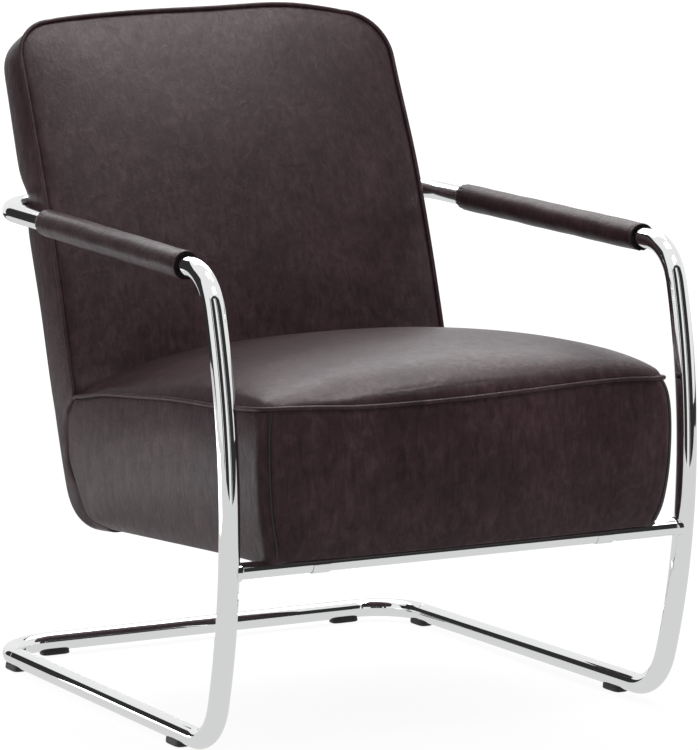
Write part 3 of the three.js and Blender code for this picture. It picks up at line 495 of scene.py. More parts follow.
def new_object(name, points, faces, look, sharp=35):
    """A smooth-shaded mesh object with one material; edges sharper than the angle stay crisp."""
    mesh = bpy.data.meshes.new(name)
    mesh.from_pydata([tuple(p) for p in points], [], faces)
    mesh.materials.append(material(look))
    mesh.polygons.foreach_set("use_smooth", [True] * len(mesh.polygons))
    mesh.set_sharp_from_angle(angle=math.radians(sharp))
    return add_object(name, mesh)


def place_piece(piece, slot, *nodes):
    """Ties a finished piece to the chair and hides the nodes that it stands for; the slot is not used.
    """
    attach(piece, BODY)
    if nodes:
        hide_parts(*nodes)
    return piece


def ring_points(points, radii, frames, sides):
    """Rings of points round a path; each frame is a tangent, a side and an up vector."""
    made = []
    for point, radius, (_, side, up) in zip(points, radii, frames):
        for j in range(sides):
            angle = 2 * math.pi * j / sides
            made.append(Vector(point) + radius * (math.cos(angle) * side + math.sin(angle) * up))
    return made


def ring_faces(rings, sides):
    """Quads between rings of points, with one face on both ends."""
    faces = []
    for i in range(rings - 1):
        for j in range(sides):
            k = (j + 1) % sides
            low = i * sides
            faces.append((low + j, low + k, low + sides + k, low + sides + j))
    faces.append(tuple(range(sides - 1, -1, -1)))
    last = (rings - 1) * sides
    faces.append(tuple(last + j for j in range(sides)))
    return faces


def frames_along(points):
    """A tangent, side and up vector at each point of a path, turned as little as possible."""
    points = [Vector(p) for p in points]
    tangents = []
    for i in range(len(points)):
        before = points[max(i - 1, 0)]
        after = points[min(i + 1, len(points) - 1)]
        tangents.append((after - before).normalized())
    side = tangents[0].orthogonal().normalized()
    rows = []
    for tangent in tangents:
        side = (side - tangent * side.dot(tangent)).normalized()
        rows.append((tangent, side, tangent.cross(side)))
    return rows


def sweep(name, points, radii, sides, look):
    """A round solid along a path, with its own radius at each point."""
    rings = ring_points(points, radii, frames_along(points), sides)
    return new_object(name, rings, ring_faces(len(points), sides), look)


def chamfered(points, radius, chamfer):
    """Adds a chamfer's rings to both ends of a path and returns points and radii."""
    first = points[0]
    last = points[-1]
    start = first + (points[1] - first).normalized() * chamfer
    end = last + (points[-2] - last).normalized() * chamfer
    path = [first, start, *points[1:-1], end, last]
    radii = [radius - chamfer, *[radius] * (len(path) - 2), radius - chamfer]
    return path, radii


def lathe(name, profile, centre, axis, sides, look):
    """A turned solid: profile rows are distance along the axis and radius."""
    forward = Vector(axis).normalized()
    side = forward.orthogonal().normalized()
    frames = [(forward, side, forward.cross(side))] * len(profile)
    points = [Vector(centre) + forward * along for along, _ in profile]
    rings = ring_points(points, [radius for _, radius in profile], frames, sides)
    return new_object(name, rings, ring_faces(len(profile), sides), look)


def hermite(knots, rows, at):
    """Smooth values between rows of numbers that stand at the knots."""
    knots = np.asarray(knots, float)
    rows = np.asarray(rows, float)
    at = np.asarray(at, float)
    slopes = np.empty_like(rows)
    slopes[1:-1] = (rows[2:] - rows[:-2]) / (knots[2:] - knots[:-2])[:, None]
    slopes[0] = (rows[1] - rows[0]) / (knots[1] - knots[0])
    slopes[-1] = (rows[-1] - rows[-2]) / (knots[-1] - knots[-2])
    i = np.clip(np.searchsorted(knots, at, side="right") - 1, 0, len(knots) - 2)
    span = (knots[i + 1] - knots[i])[..., None]
    t = (at[..., None] - knots[i][..., None]) / span
    return (
        (2 * t**3 - 3 * t**2 + 1) * rows[i]
        + (t**3 - 2 * t**2 + t) * span * slopes[i]
        + (3 * t**2 - 2 * t**3) * rows[i + 1]
        + (t**3 - t**2) * span * slopes[i + 1]
    )


def step_up(value, low, high):
    """A smooth rise from 0 to 1 between two values."""
    t = np.clip((np.asarray(value, float) - low) / (high - low), 0, 1)
    return t * t * (3 - 2 * t)


def bell(distance, reach):
    """A smooth bump that is 1 at no distance and fades out over the reach."""
    return np.exp(-((distance / reach) ** 2))


def arch(share):
    """A swell that is 0 at shares 0 and 1, and 1 half-way."""
    return np.sin(math.pi * np.clip(share, 0, 1))


def as_arrays(*values):
    """Numbers and arrays, brought to one shape."""
    return np.broadcast_arrays(*(np.asarray(value, float) for value in values))


def path_knots(points):
    """The distance along a path of each of its points."""
    return np.concatenate([[0], np.cumsum(np.linalg.norm(np.diff(points, axis=0), axis=1))])


class Block:
    """The surface of a lattice of columns, depths and rows, each point put in its place."""

    def __init__(self, columns, depths, rows):
        self.steps = (len(columns) - 1, len(depths) - 1, len(rows) - 1)
        nx, ny, nz = self.steps
        self.index = {}
        for i in range(nx + 1):
            for j in range(ny + 1):
                for k in range(nz + 1):
                    if i in (0, nx) or j in (0, ny) or k in (0, nz):
                        self.index[(i, j, k)] = len(self.index)
        cells = np.array(list(self.index), int)
        self.i, self.j, self.k = cells.T
        self.across = np.asarray(columns, float)[self.i]
        self.depth = np.asarray(depths, float)[self.j]
        self.row = np.asarray(rows, float)[self.k]

    def faces(self):
        """Quads over the six sides, facing out."""
        nx, ny, nz = self.steps
        quads = []

        def add(a, b, c, d):
            quads.append(tuple(self.index[p] for p in (a, b, c, d)))

        for i in range(nx):
            for k in range(nz):
                add((i, 0, k), (i + 1, 0, k), (i + 1, 0, k + 1), (i, 0, k + 1))
                add((i + 1, ny, k), (i, ny, k), (i, ny, k + 1), (i + 1, ny, k + 1))
        for j in range(ny):
            for k in range(nz):
                add((0, j + 1, k), (0, j, k), (0, j, k + 1), (0, j + 1, k + 1))
                add((nx, j, k), (nx, j + 1, k), (nx, j + 1, k + 1), (nx, j, k + 1))
        for i in range(nx):
            for j in range(ny):
                add((i, j, nz), (i + 1, j, nz), (i + 1, j + 1, nz), (i, j + 1, nz))
                add((i + 1, j, 0), (i, j, 0), (i, j + 1, 0), (i + 1, j + 1, 0))
        return quads


def spread(count, edge_share):
    """Shares from -1 to 1 whose steps shrink towards both ends, by edge_share of an even spread."""
    even = np.linspace(-1, 1, count + 1)
    return edge_share * even + (1 - edge_share) * np.sin(even * math.pi / 2)


# The tube loop

SEAM_GAP = 0.15 * MM  # of each tube's end from the middle of its butt seam
WELD_SHARES = (0.0, 0.15, 0.35, 0.6, 1.0)  # of a weld fillet's run along the crossbar


class TubeLoop:
    """Centre lines of the tubes."""

    def __init__(self):
        tube = settings().tube
        self.tube = tube
        self.radius = tube.diameter / 2
        self.floor_height = base_low.z + self.radius
        self.base_half = base_high.x - self.radius
        self.lean = math.tan(tube.splay)
        self.bow = (tube.bow_radius - tube.bow_reach, tube.bow_height)
        low_z = self.floor_height + tube.lower_bend
        reach = math.sqrt((tube.bow_radius - tube.lower_bend) ** 2 - (low_z - self.bow[1]) ** 2)
        self.lower = (self.bow[0] - reach, low_z)
        self.upper = self.upper_centre()

    def base_z(self, back):
        """Height of the base's centre line, the same at every distance."""
        return self.floor_height

    def arm_z(self, back):
        """Height of the arm's centre line at a distance behind the rear base tube."""
        return self.tube.arm_height + math.tan(self.tube.arm_tilt) * back

    def lean_x(self, z):
        """Distance of a side frame's centre line from the middle at a height."""
        return self.base_half + (z - self.floor_height) * self.lean

    def upper_centre(self):
        """Centre of the bend that touches both the bow and the arm."""
        tube = self.tube
        cos, sin = math.cos(tube.arm_tilt), math.sin(tube.arm_tilt)
        start = (tube.upper_bend * sin, tube.arm_height - tube.upper_bend * cos)
        to_bow = (start[0] - self.bow[0], start[1] - self.bow[1])
        along = -to_bow[0] * cos - to_bow[1] * sin
        rest = to_bow[0] ** 2 + to_bow[1] ** 2 - (tube.bow_radius - tube.upper_bend) ** 2
        distance = -along + math.sqrt(along**2 - rest)
        return (start[0] - distance * cos, start[1] - distance * sin)

    def side(self, side, steps=20, bow_steps=36):
        """From the base seam forward, up the bowed upright and back along the arm."""
        tube = self.tube
        path = []

        def put(back, z):
            path.append(Vector((side * self.lean_x(z), rear_y + back, z)))

        def arc(centre, radius, start, end, count, first):
            for i in range(first, count + 1):
                angle = start + (end - start) * i / count
                put(centre[0] + radius * math.cos(angle), centre[1] + radius * math.sin(angle))

        low = math.atan2(self.lower[1] - self.bow[1], self.lower[0] - self.bow[0])
        high = math.atan2(self.upper[1] - self.bow[1], self.upper[0] - self.bow[0])
        put(-tube.base_seam, self.floor_height)
        arc(self.lower, tube.lower_bend, -math.pi / 2, low, steps, 0)
        arc(self.bow, tube.bow_radius, low + 2 * math.pi, high, bow_steps, 1)
        arc(self.upper, tube.upper_bend, high, math.pi / 2 + tube.arm_tilt, steps, 1)
        put(-tube.arm_seam, self.arm_z(-tube.arm_seam))
        return path

    def hoop(self, half, ahead, bend, seam, height, steps=20):
        """Two short legs, two bends and a straight run across the rear."""
        path = []

        def put(x, back):
            path.append(Vector((x, rear_y + back, height(back))))

        put(-half, -seam)
        for side, order in ((-1, range(steps + 1)), (1, range(steps, -1, -1))):
            for i in order:
                angle = math.pi / 2 * i / steps
                x = side * (half - bend * (1 - math.cos(angle)))
                put(x, -ahead - bend * (1 - math.sin(angle)))
        put(half, -seam)
        return path

    def arm_half(self):
        """Distance of the arm's rear legs from the middle."""
        return self.lean_x(self.arm_z(-self.tube.arm_seam))


class ChairTubes(bpy.types.Operator):
    """Make the chrome tube loop and the front crossbar"""

    bl_idname = "lounge_chair.tubes"
    bl_label = "Tube loop"

    def execute(self, context):
        loop = TubeLoop()
        tube = settings().tube
        routes = {f"{name}_side_tube": loop.side(side) for name, side in SIDES.items()}
        base = (loop.base_half, 0.0, tube.base_bend, tube.base_seam - SEAM_GAP, loop.base_z)
        arm = (loop.arm_half(), tube.arm_back, tube.arm_bend, tube.arm_seam - SEAM_GAP, loop.arm_z)
        routes["rear_base_tube"] = loop.hoop(*base)
        routes["rear_arm_tube"] = loop.hoop(*arm)
        for name, route in routes.items():
            path, radii = chamfered(route, loop.radius, tube.end_chamfer)
            piece = sweep(f"{name}_chrome", path, radii, tube.sides, "chrome")
            place_piece(piece, "chrome_tube", name)
        self.crossbar(loop)
        return {"FINISHED"}

    def crossbar(self, loop):
        """The crossbar with a weld fillet where it meets each upright."""
        middle = (bar_low + bar_high) / 2
        radius = (bar_high.z - bar_low.z) / 2
        weld = settings().tube.weld
        end = loop.lean_x(middle.z) - loop.radius / 2
        face = loop.lean_x(middle.z) - loop.radius
        half = [(end, radius + weld)]
        half += [(face - weld * share, radius + weld * (1 - share) ** 2) for share in WELD_SHARES]
        rows = [(-x, r) for x, r in half] + [(x, r) for x, r in reversed(half)]
        points = [Vector((x, middle.y, middle.z)) for x, _ in rows]
        radii = [r for _, r in rows]
        piece = sweep("front_crossbar_chrome", points, radii, settings().tube.sides, "chrome")
        place_piece(piece, "chrome_tube", "front_crossbar")


# The upholstered body

# Rows of the boxing from under the seat round the corner and up to the crease: how far up the last
# ones are, the boxing's depth and how far it is tucked in
FILLET_STEPS = 5
SKIRT_STEPS = (0.36, 0.68, 0.9, 1.0)
SKIRT_DEPTHS = (0.19, 0.5, 0.75, 0.9, 1.0, 1.0, 1.0, 0.74, 0.86, 1.0, 1.22)
SKIRT_TUCKS = (1.0, 0.9, 0.62, 0.36, 0.15, 0.04, 0.0, 0.0, 0.0, 0.0, 0.0)
# Rows of the back, up to its top corner and round that
BACK_STEPS = 14
CORNER_STEPS = 8
OUTER_START = 0.025  # share of the outer back at which it meets the crease
REAR_WEIGHT = 0.3  # of the rear's run against the front's, where the rows are spaced
ROUNDING_HEIGHTS = (0.36, 0.5)  # metres between which the rear corners turn from tight to round
MOST_ROUNDED = 0.8  # share of the boxing that its rear corner may take
# Shares of the back's height
RIGHT_DRAW_HEIGHTS = (0.55, 0.85)  # between which the right edge is drawn in
CREASE_REACH = 0.3  # over which the crown grows from the crease
CREASE_CROWN = 0.55  # share of the crown that is there at the crease
FULL_HEIGHT = 0.42  # up to which the crown stays full
TOP_HEIGHTS = (0.72, 1.0)  # between which the top edge rises
# Where the top edge is fuller, right of its middle
TOP_LEAN_PLACE = 120 * MM
TOP_LEAN_REACH = 80 * MM
# What the seams draw in, and over what distance
BACK_PINCH = 1.6 * MM
BACK_PINCH_REACH = 3.5 * MM
REAR_PINCH = 1.8 * MM
REAR_PINCH_REACH = 4 * MM
CORNER_PINCH = 3.2 * MM
CORNER_PINCH_REACH = 1.6 * MM
# Shares of the seat's depth
CORNER_DRAW_REACH = 0.2  # over which the front corners are drawn in
CORNER_FULL_REACH = 0.3  # over which they are fuller
EDGE_REACH = 0.25  # over which the front welt's rise and fall fades
SIDE_BOW_STARTS = (0.12, 0.5)  # between which the side welt's bow rises
SIDE_BOW_ENDS = (0.8, 0.98)  # between which it falls
CROWN_FULL = 0.654  # at which the crown is full
FRONT_HANG_SHARES = (0.012, 0.03)  # between which the front's hanging edge ends
SIDE_HANG_START = 0.03
HIDDEN_SHARE = 0.985  # behind which the seat cover is inside the back
# Shares of the seat's height
TUCK_RISE = 0.42  # up to which the sides are tucked in
FRONT_TUCK_RISE = 0.16  # up to which the front is
FRONT_HANG_RISE = 0.1  # up to which the front's hang reaches
SWELL_RISES = (-0.1, 0.9)  # between which the front corners' swell grows
# The seat
CORNER_TUCK_LOSS = 0.4  # share of the tuck that the front corners lose
CROWN_STEEPNESS = 0.4  # the lower, the steeper the crown's front
CROWN_FALL = 0.38  # how much fuller the crown is at the front than at the crease
CROWN_FLATNESS = (0.355, 0.36)  # of the crown across: at the front, and what the crease adds
DUST_COVER_HALF = 0.87  # share of the seat's half-width
SIDE_HANG_FALL = 0.45  # share of the sides' hang that is lost towards the crease
HIDDEN_DIVE = 12 * MM  # how far the seat narrows inside the back
LEFT_SWELL_SHARE = 0.45  # of the right front corner's swell
PUFF_PLACE = 50 * MM  # from the corner
PUFF_REACH = 22 * MM
# The front welt's rise and fall: places from left to right, and how high it is there
EDGE_PLACES = (-1.0, -0.88, -0.6, -0.1, 0.38, 0.64, 0.86, 1.0)
EDGE_RISES = np.array([0.6, -0.6, -4.2, -3.6, 0.4, 2.6, 2.6, 0.4])[:, None] * MM
# The seat's underside
RAIL_SHARE = 0.118  # of the seat's depth that is under the front rail
UNDER_RAISE = 5 * MM  # over the dust cover
RAIL_CLEARANCE = 0.6 * MM  # under the rail
BAR_CLEARANCE = 0.3 * MM  # over the crossbar
# Mesh columns: across, along the boxing as shares, and round the front corner in degrees
BODY_COLUMNS = 62
BODY_EVENNESS = 0.5
BOXING_COLUMNS = (0, 0.02, 0.05, 0.1, 0.17, 0.26, 0.35, 0.43, 0.5, 0.58, 0.66, 0.74, 0.82, 0.91, 1)
BEFORE_SEAM = (90, 80, 70)
SEAM_OFFSETS = (12, 6, 3, 0, -3, -6, -12)
BEHIND_SEAM = (30, 20, 10)
INSIDE_BACK = (1.006, 1.02, 1.045)  # the seat's last columns, as shares of its depth
# The outer back panel
PANEL_EDGE = 7 * MM  # over which it rises to its full thickness
PANEL_SUNK = 1.2 * MM  # how far its edge lies in the boxing
PANEL_RISE = 2.2 * MM
PANEL_INSIDE = 3 * MM  # how far its inner side lies in the body
PANEL_GAP = 2 * MM  # from the rounded corners
PANEL_SLOPE_STEP = 0.004  # share of its run over which its slope is taken
# Cloth
LAST_RELAXED_COLUMN = 9  # the boxing's columns behind it stay as they are
BESIDE_WELT_PINNED = 0.6
COVER_CAP = 3 * MM  # the most that a point moves
COVER_PRESSURE = 2.0
COVER_FRAMES = 20


class BodyShape:
    """Side profile and surfaces of the seat and the back."""

    def __init__(self):
        body = settings().body
        self.body = body
        self.bar_y = (bar_low.y + bar_high.y) / 2
        self.bottom = bar_high.z + BAR_CLEARANCE
        self.low = np.array([rear_y - body.outer_low_back, body.outer_low_height])
        self.top = np.array([rear_y + body.outer_top_back, body.outer_top_height])
        self.outer_angle = math.atan2(*(self.top - self.low)[::-1])
        self.outer_length = math.hypot(*(self.top - self.low))
        self.bottom_angle = -math.atan(body.bottom_slope)
        self.centre = self.fillet_centre()
        self.front_low = np.array([rear_y - body.crease_back, body.crease_height])
        self.front_top = np.array([rear_y - body.back_top, body.back_height])
        self.front_length = math.hypot(*(self.front_top - self.front_low))
        self.seat_reach = body.seat_front - body.crease_back
        self.knots, self.rows = self.back_rows()

    def bottom_z(self, y):
        """Height of the body's underside."""
        return self.bottom + self.body.bottom_slope * (self.bar_y - y)

    def fillet_centre(self):
        """Centre of the rear bottom corner's rounding."""
        body = self.body
        slope = math.tan(self.outer_angle)
        over = body.outer_fillet / math.cos(self.bottom_angle)
        ahead = body.outer_fillet / math.sin(self.outer_angle)
        y0 = self.low[0] - ahead
        rise = self.bottom + body.bottom_slope * self.bar_y + over
        y = (rise - self.low[1] + slope * y0) / (slope + body.bottom_slope)
        return np.array([y, self.low[1] + slope * (y - y0)])

    def outer(self, share):
        """A point of the outer back, from its low end to its top."""
        swell = self.body.outer_bow * math.sin(math.pi * min(share, 1.0))
        out = np.array([math.sin(self.outer_angle), -math.cos(self.outer_angle)])
        return self.low + (self.top - self.low) * share + swell * out

    def fillet(self, share):
        """A point of the rear bottom corner."""
        start = self.bottom_angle - math.pi / 2
        angle = start + (self.outer_angle - self.bottom_angle) * share
        return self.centre + self.body.outer_fillet * np.array([math.cos(angle), math.sin(angle)])

    def underside(self, start_y):
        """Points from under the seat round the rear bottom corner to the outer back's low end."""
        points = [np.array([start_y, self.bottom_z(start_y)])]
        points += [self.fillet(share) for share in np.linspace(0, 1, FILLET_STEPS + 1)]
        return points

    def back_rows(self):
        """Rows of front y, z, rear y, z, width share and height share, with a knot for each."""
        body = self.body
        low = self.underside(rear_y - body.skirt_reach)
        low += [low[-1] + (self.low - low[-1]) * share for share in SKIRT_STEPS]
        rows = []
        for i, (point, thick, tuck) in enumerate(zip(low, SKIRT_DEPTHS, SKIRT_TUCKS)):
            along = low[min(i + 1, len(low) - 1)] - low[max(i - 1, 0)]
            inward = np.array([-along[1], along[0]]) / math.hypot(*along)
            width = 1 - body.seat_tuck / body.back_half * tuck
            rows.append([*(point + inward * body.skirt * thick), *point, width, -1.0])
        self.low_rows = len(rows)
        corner = body.back_corner / self.front_length
        shares = [(share * (1 - corner), 1.0) for share in np.linspace(0, 1, BACK_STEPS)[:-1]]
        for step in range(CORNER_STEPS + 1):
            angle = math.pi / 2 * step / CORNER_STEPS
            narrow = body.back_corner * (1 - math.cos(angle)) / body.back_half
            shares.append((1 - corner * (1 - math.sin(angle)), 1 - narrow))
        for share, width in shares:
            front = self.front_low + (self.front_top - self.front_low) * share
            front[0] -= body.back_bow * math.sin(math.pi * share)
            rear = self.outer(OUTER_START + (1 - OUTER_START) * share)
            rows.append([*front, *rear, width, share])
        rows = np.array(rows)
        weights = np.array([1, 1, REAR_WEIGHT, REAR_WEIGHT, body.back_half])
        knots = path_knots(rows[:, :5] * weights)
        return knots / knots[-1], rows

    def crease_knot(self):
        """Where, along the back's rows, its front face starts."""
        return self.knots[self.low_rows]

    def back(self, across, depth, row):
        """Points of the back: across -1 to 1, depth 0 at the welt to 1 at the rear, row 0 to 1."""
        body = self.body
        across, depth, row = as_arrays(across, depth, row)
        values = hermite(self.knots, self.rows, row)
        front, rear = values[..., :2], values[..., 2:4]
        width, share = values[..., 4], values[..., 5]
        thickness = np.linalg.norm(rear - front, axis=-1)
        radius = np.minimum(self.rear_rounding(rear[..., 1]), thickness * MOST_ROUNDED)
        straight = 1 - radius / thickness
        angle = math.pi / 2 * np.clip(depth * 2 - 1, 0, 1)
        along = straight * np.clip(depth * 2, 0, 1) + radius / thickness * np.sin(angle)
        narrow = radius * (1 - np.cos(angle))
        pinch = BACK_PINCH * bell(depth * 2 * straight * thickness, BACK_PINCH_REACH)
        half = body.back_half * width - narrow - pinch + body.back_bulge * arch(along)
        height = np.clip(share, 0, 1)
        fall = self.front_length * (1 - height)
        right, both = (self.corner_narrow(r, fall) for r in (body.right_corner, body.back_corner))
        drawn = body.right_draw * step_up(height, *RIGHT_DRAW_HEIGHTS) + right - both
        half = half - drawn * step_up(across, 0.0, 1.0) * (share >= 0)
        dome = np.clip(1 - across**2, 0, 1)
        upper = np.clip((height - FULL_HEIGHT) / (1 - FULL_HEIGHT), 0, 1)
        grown = CREASE_CROWN + (1 - CREASE_CROWN) * step_up(height, 0.0, CREASE_REACH)
        crown = (1 - upper**4.0) ** 0.9 * grown * (share >= 0)
        swell = body.back_crown * crown * dome**0.5 * (depth == 0)
        lean = body.top_lean * bell(across * half - TOP_LEAN_PLACE, TOP_LEAN_REACH)
        lift = (body.top_crown * dome**0.8 + lean) * step_up(height, *TOP_HEIGHTS) ** 2
        lift = lift + body.top_swell * arch(along) * (row >= 1) * dome**0.3
        place = front + (rear - front) * along[..., None]
        return np.stack([across * half, place[..., 0] - swell, place[..., 1] + lift], axis=-1)

    def rear_rounding(self, height):
        """Radius of the back's rear corners at a height, greater where the arm tube passes."""
        low, rear = self.body.low_radius, self.body.rear_radius
        return low + (rear - low) * step_up(height, *ROUNDING_HEIGHTS) + self.dent(height)

    def dent(self, height):
        """How far the leather gives way beside the arm tube."""
        arm = TubeLoop().arm_z(-settings().tube.arm_back)
        return self.body.dent * bell(height - arm, self.body.dent_reach)

    def corner_narrow(self, radius, fall):
        """How far a top corner of this radius narrows the back at a distance under its top edge."""
        inside = np.clip(radius - fall, 0, radius)
        return radius - np.sqrt(radius**2 - inside**2)

    def seat_rear(self, rise):
        """The seam of the seat's side and the back's boxing, from under the seat up to the crease."""
        seam = self.rows[: self.low_rows + 1, :2]
        knots = path_knots(seam)
        return hermite(knots / knots[-1], seam, rise)

    def seam_share(self):
        """The share of the seat's depth at which the front corner's seam lies."""
        return self.corner_share() * (1 - math.sin(self.body.corner_seam_shade))

    def corner_share(self):
        """The share of the seat's depth that its rounded front corners take."""
        return self.body.corner_radius / self.seat_reach

    def seat(self, across, share, rise):
        """Points of the seat: share 0 at the front, 1 at the seam and on into the back, rise 0 to 1."""
        body = self.body
        across, share, rise = as_arrays(across, share, rise)
        inside = np.clip(share, 0, 1)
        front_y = self.front_face(across, rise)
        low = self.bottom_z(rear_y - body.seat_front)
        front_z = low + (body.seat_height - low) * rise
        rear = self.seat_rear(rise)
        y = front_y + (rear[..., 0] - front_y) * inside + np.clip(share - 1, 0, 1) * self.seat_reach
        z = front_z + (rear[..., 1] - front_z) * inside
        z = z + self.seat_crown(across, inside) * (rise >= 1)
        near_front = np.clip(1 - inside / EDGE_REACH, 0, 1)
        z = z + self.front_edge(across) * step_up(rise, 0.0, 1.0) * near_front
        bowed = step_up(inside, *SIDE_BOW_STARTS) * (1 - step_up(inside, *SIDE_BOW_ENDS))
        z = z + body.side_bow * bowed * across**6 * step_up(rise, 0.0, 1.0)
        z = z + self.seat_underside(across, inside, rise)
        return np.stack([across * self.seat_half(across, share, rise), y, z], axis=-1)

    def seat_half(self, across, share, rise):
        """Half the seat's width: rounded at the corners, tucked in below and pinched at the seams."""
        body = self.body
        inside = np.clip(share, 0, 1)
        corner_share = np.clip(share * self.seat_reach / body.corner_radius, 0, 1)
        rounding = body.corner_radius * (1 - np.sqrt(np.clip(1 - (1 - corner_share) ** 2, 0, 1)))
        drawn = body.corner_inset * np.clip(1 - inside / CORNER_DRAW_REACH, 0, 1) ** 2
        full = 1 - step_up(inside, 0.0, CORNER_FULL_REACH)
        tuck = body.seat_tuck * np.clip(1 - rise / TUCK_RISE, 0, 1) ** 2.2
        tuck = tuck * (1 - CORNER_TUCK_LOSS * full)
        pinch = REAR_PINCH * bell((1 - share) * self.seat_reach, REAR_PINCH_REACH)
        sewn = bell((share - self.seam_share()) * self.seat_reach, CORNER_PINCH_REACH)
        pinch = pinch + CORNER_PINCH * sewn * (np.abs(across) == 1) * (rise < 1)
        dive = HIDDEN_DIVE * step_up(np.clip(share - 1, 0, 1), 0.0, 0.02)
        full = full * (1 - rise**14) * step_up(rise, *SWELL_RISES)
        bulge = body.seat_bulge * arch(rise) ** 0.8
        bulge = bulge + body.right_swell * full * np.where(across > 0, 1.0, LEFT_SWELL_SHARE)
        return body.seat_half - drawn - rounding - tuck - pinch - dive + bulge

    def front_face(self, across, rise):
        """Depth of the seat's front, which swells in its middle and beside its corners."""
        body = self.body
        y = rear_y - body.seat_front + body.face_bulge * (1 - rise)
        y = y - body.face_bulge * np.sin(math.pi * rise) - body.front_bulge * (1 - across**2)
        y = y + body.front_tuck * np.clip(1 - rise / FRONT_TUCK_RISE, 0, 1) ** 2
        beside_corner = bell((1 - np.abs(across)) * body.seat_half - PUFF_PLACE, PUFF_REACH)
        return y - body.front_puff * beside_corner * np.sin(math.pi * rise)

    def seat_crown(self, across, inside):
        """Rise of the seat's top over its welt."""
        body = self.body
        at_front, at_crease = CROWN_FLATNESS
        dome = np.clip(1 - across**2, 0, 1) ** (at_front + at_crease * inside**2)
        risen = np.sin(math.pi / 2 * np.clip(inside / CROWN_FULL, 0, 1)) ** CROWN_STEEPNESS
        leaning = (1 + CROWN_FALL * (0.5 - inside)) * (1 + body.seat_lean * across)
        return body.seat_crown * risen * leaning * dome

    def front_edge(self, across):
        """The front welt's rise and fall along its length, as hand-sewn covers have it."""
        return hermite(EDGE_PLACES, EDGE_RISES, np.clip(across, -1, 1))[..., 0]

    def seat_underside(self, across, inside, rise):
        """How far the underside is raised over the dust cover and hangs round the frame."""
        body = self.body
        raised = (rise <= 0) & (np.abs(across) < DUST_COVER_HALF) & (inside > RAIL_SHARE)
        sunk = (rise <= 0) & (inside <= RAIL_SHARE)
        low = np.clip(1 - rise / FRONT_HANG_RISE, 0, 1)
        hang = body.front_hang * (1 - step_up(inside, *FRONT_HANG_SHARES)) * low
        beside = step_up(inside, 0.0, SIDE_HANG_START) * (1 - SIDE_HANG_FALL * inside)
        hang = hang + body.side_hang * beside * across**12 * np.clip(1 - rise, 0, 1) ** 2
        return np.where(raised, UNDER_RAISE, 0) - np.where(sunk, RAIL_CLEARANCE, 0) - hang


def relax_cover(piece, pinned):
    """Lets a cover swell like a filled cushion, each point moving no further than the cap."""
    scene = bpy.context.scene
    trial = add_object("cover_trial", piece.data.copy())
    group = trial.vertex_groups.new(name="sewn")
    for index, weight in enumerate(pinned):
        if weight > 0:
            group.add([index], float(weight), "REPLACE")
    cloth = trial.modifiers.new("cover", "CLOTH")
    cloth.settings.quality = 5
    cloth.settings.mass = 0.4
    cloth.settings.tension_stiffness = 30
    cloth.settings.compression_stiffness = 30
    cloth.settings.shear_stiffness = 12
    cloth.settings.bending_stiffness = 12
    cloth.settings.vertex_group_mass = group.name
    cloth.settings.use_pressure = True
    cloth.settings.uniform_pressure_force = COVER_PRESSURE
    cloth.settings.effector_weights.gravity = 0
    cloth.point_cache.frame_start = 1
    cloth.point_cache.frame_end = COVER_FRAMES
    for step in range(1, COVER_FRAMES + 1):
        scene.frame_set(step)
    swollen = trial.evaluated_get(bpy.context.evaluated_depsgraph_get())
    count = len(trial.data.vertices)
    before = np.empty(count * 3)
    after = np.empty(count * 3)
    trial.data.vertices.foreach_get("co", before)
    swollen.data.vertices.foreach_get("co", after)
    scene.frame_set(1)
    move = (after - before).reshape(-1, 3)
    far = np.linalg.norm(move, axis=1, keepdims=True)
    move *= np.minimum(1, COVER_CAP / np.maximum(far, 1e-9)) * (1 - np.asarray(pinned)[:, None])
    piece.data.vertices.foreach_set("co", before + move.ravel())
    piece.data.update()
    bpy.data.objects.remove(trial)


def add_subdivision(piece):
    """One subdivision level, the same in view and render."""
    fine = piece.modifiers.new("fine", "SUBSURF")
    fine.levels = 1
    fine.render_levels = 1


class ChairBack(bpy.types.Operator):
    """Make the back: its crowned front panel and the boxing round it"""

    bl_idname = "lounge_chair.back"
    bl_label = "Back"

    def execute(self, context):
        shape = BodyShape()
        crease = shape.crease_knot()
        rows = np.concatenate([np.linspace(0, crease, 26)[:-1], np.linspace(crease, 1, 62)])
        block = Block(spread(BODY_COLUMNS, BODY_EVENNESS), BOXING_COLUMNS, rows)
        points = shape.back(block.across, block.depth, block.row)
        piece = new_object("back_cover", points, block.faces(), "leather", sharp=180)
        rim = (np.abs(block.across) == 1) | (block.row >= 1)
        edge = (block.j == 0) & rim
        near = (block.j <= 1) & rim
        hidden = (block.j > LAST_RELAXED_COLUMN) | (block.row < crease)
        pinned = np.where(edge | hidden, 1.0, np.where(near, BESIDE_WELT_PINNED, 0.0))
        relax_cover(piece, pinned)
        add_subdivision(piece)
        place_piece(piece, "leather", "back_cushion")
        return {"FINISHED"}


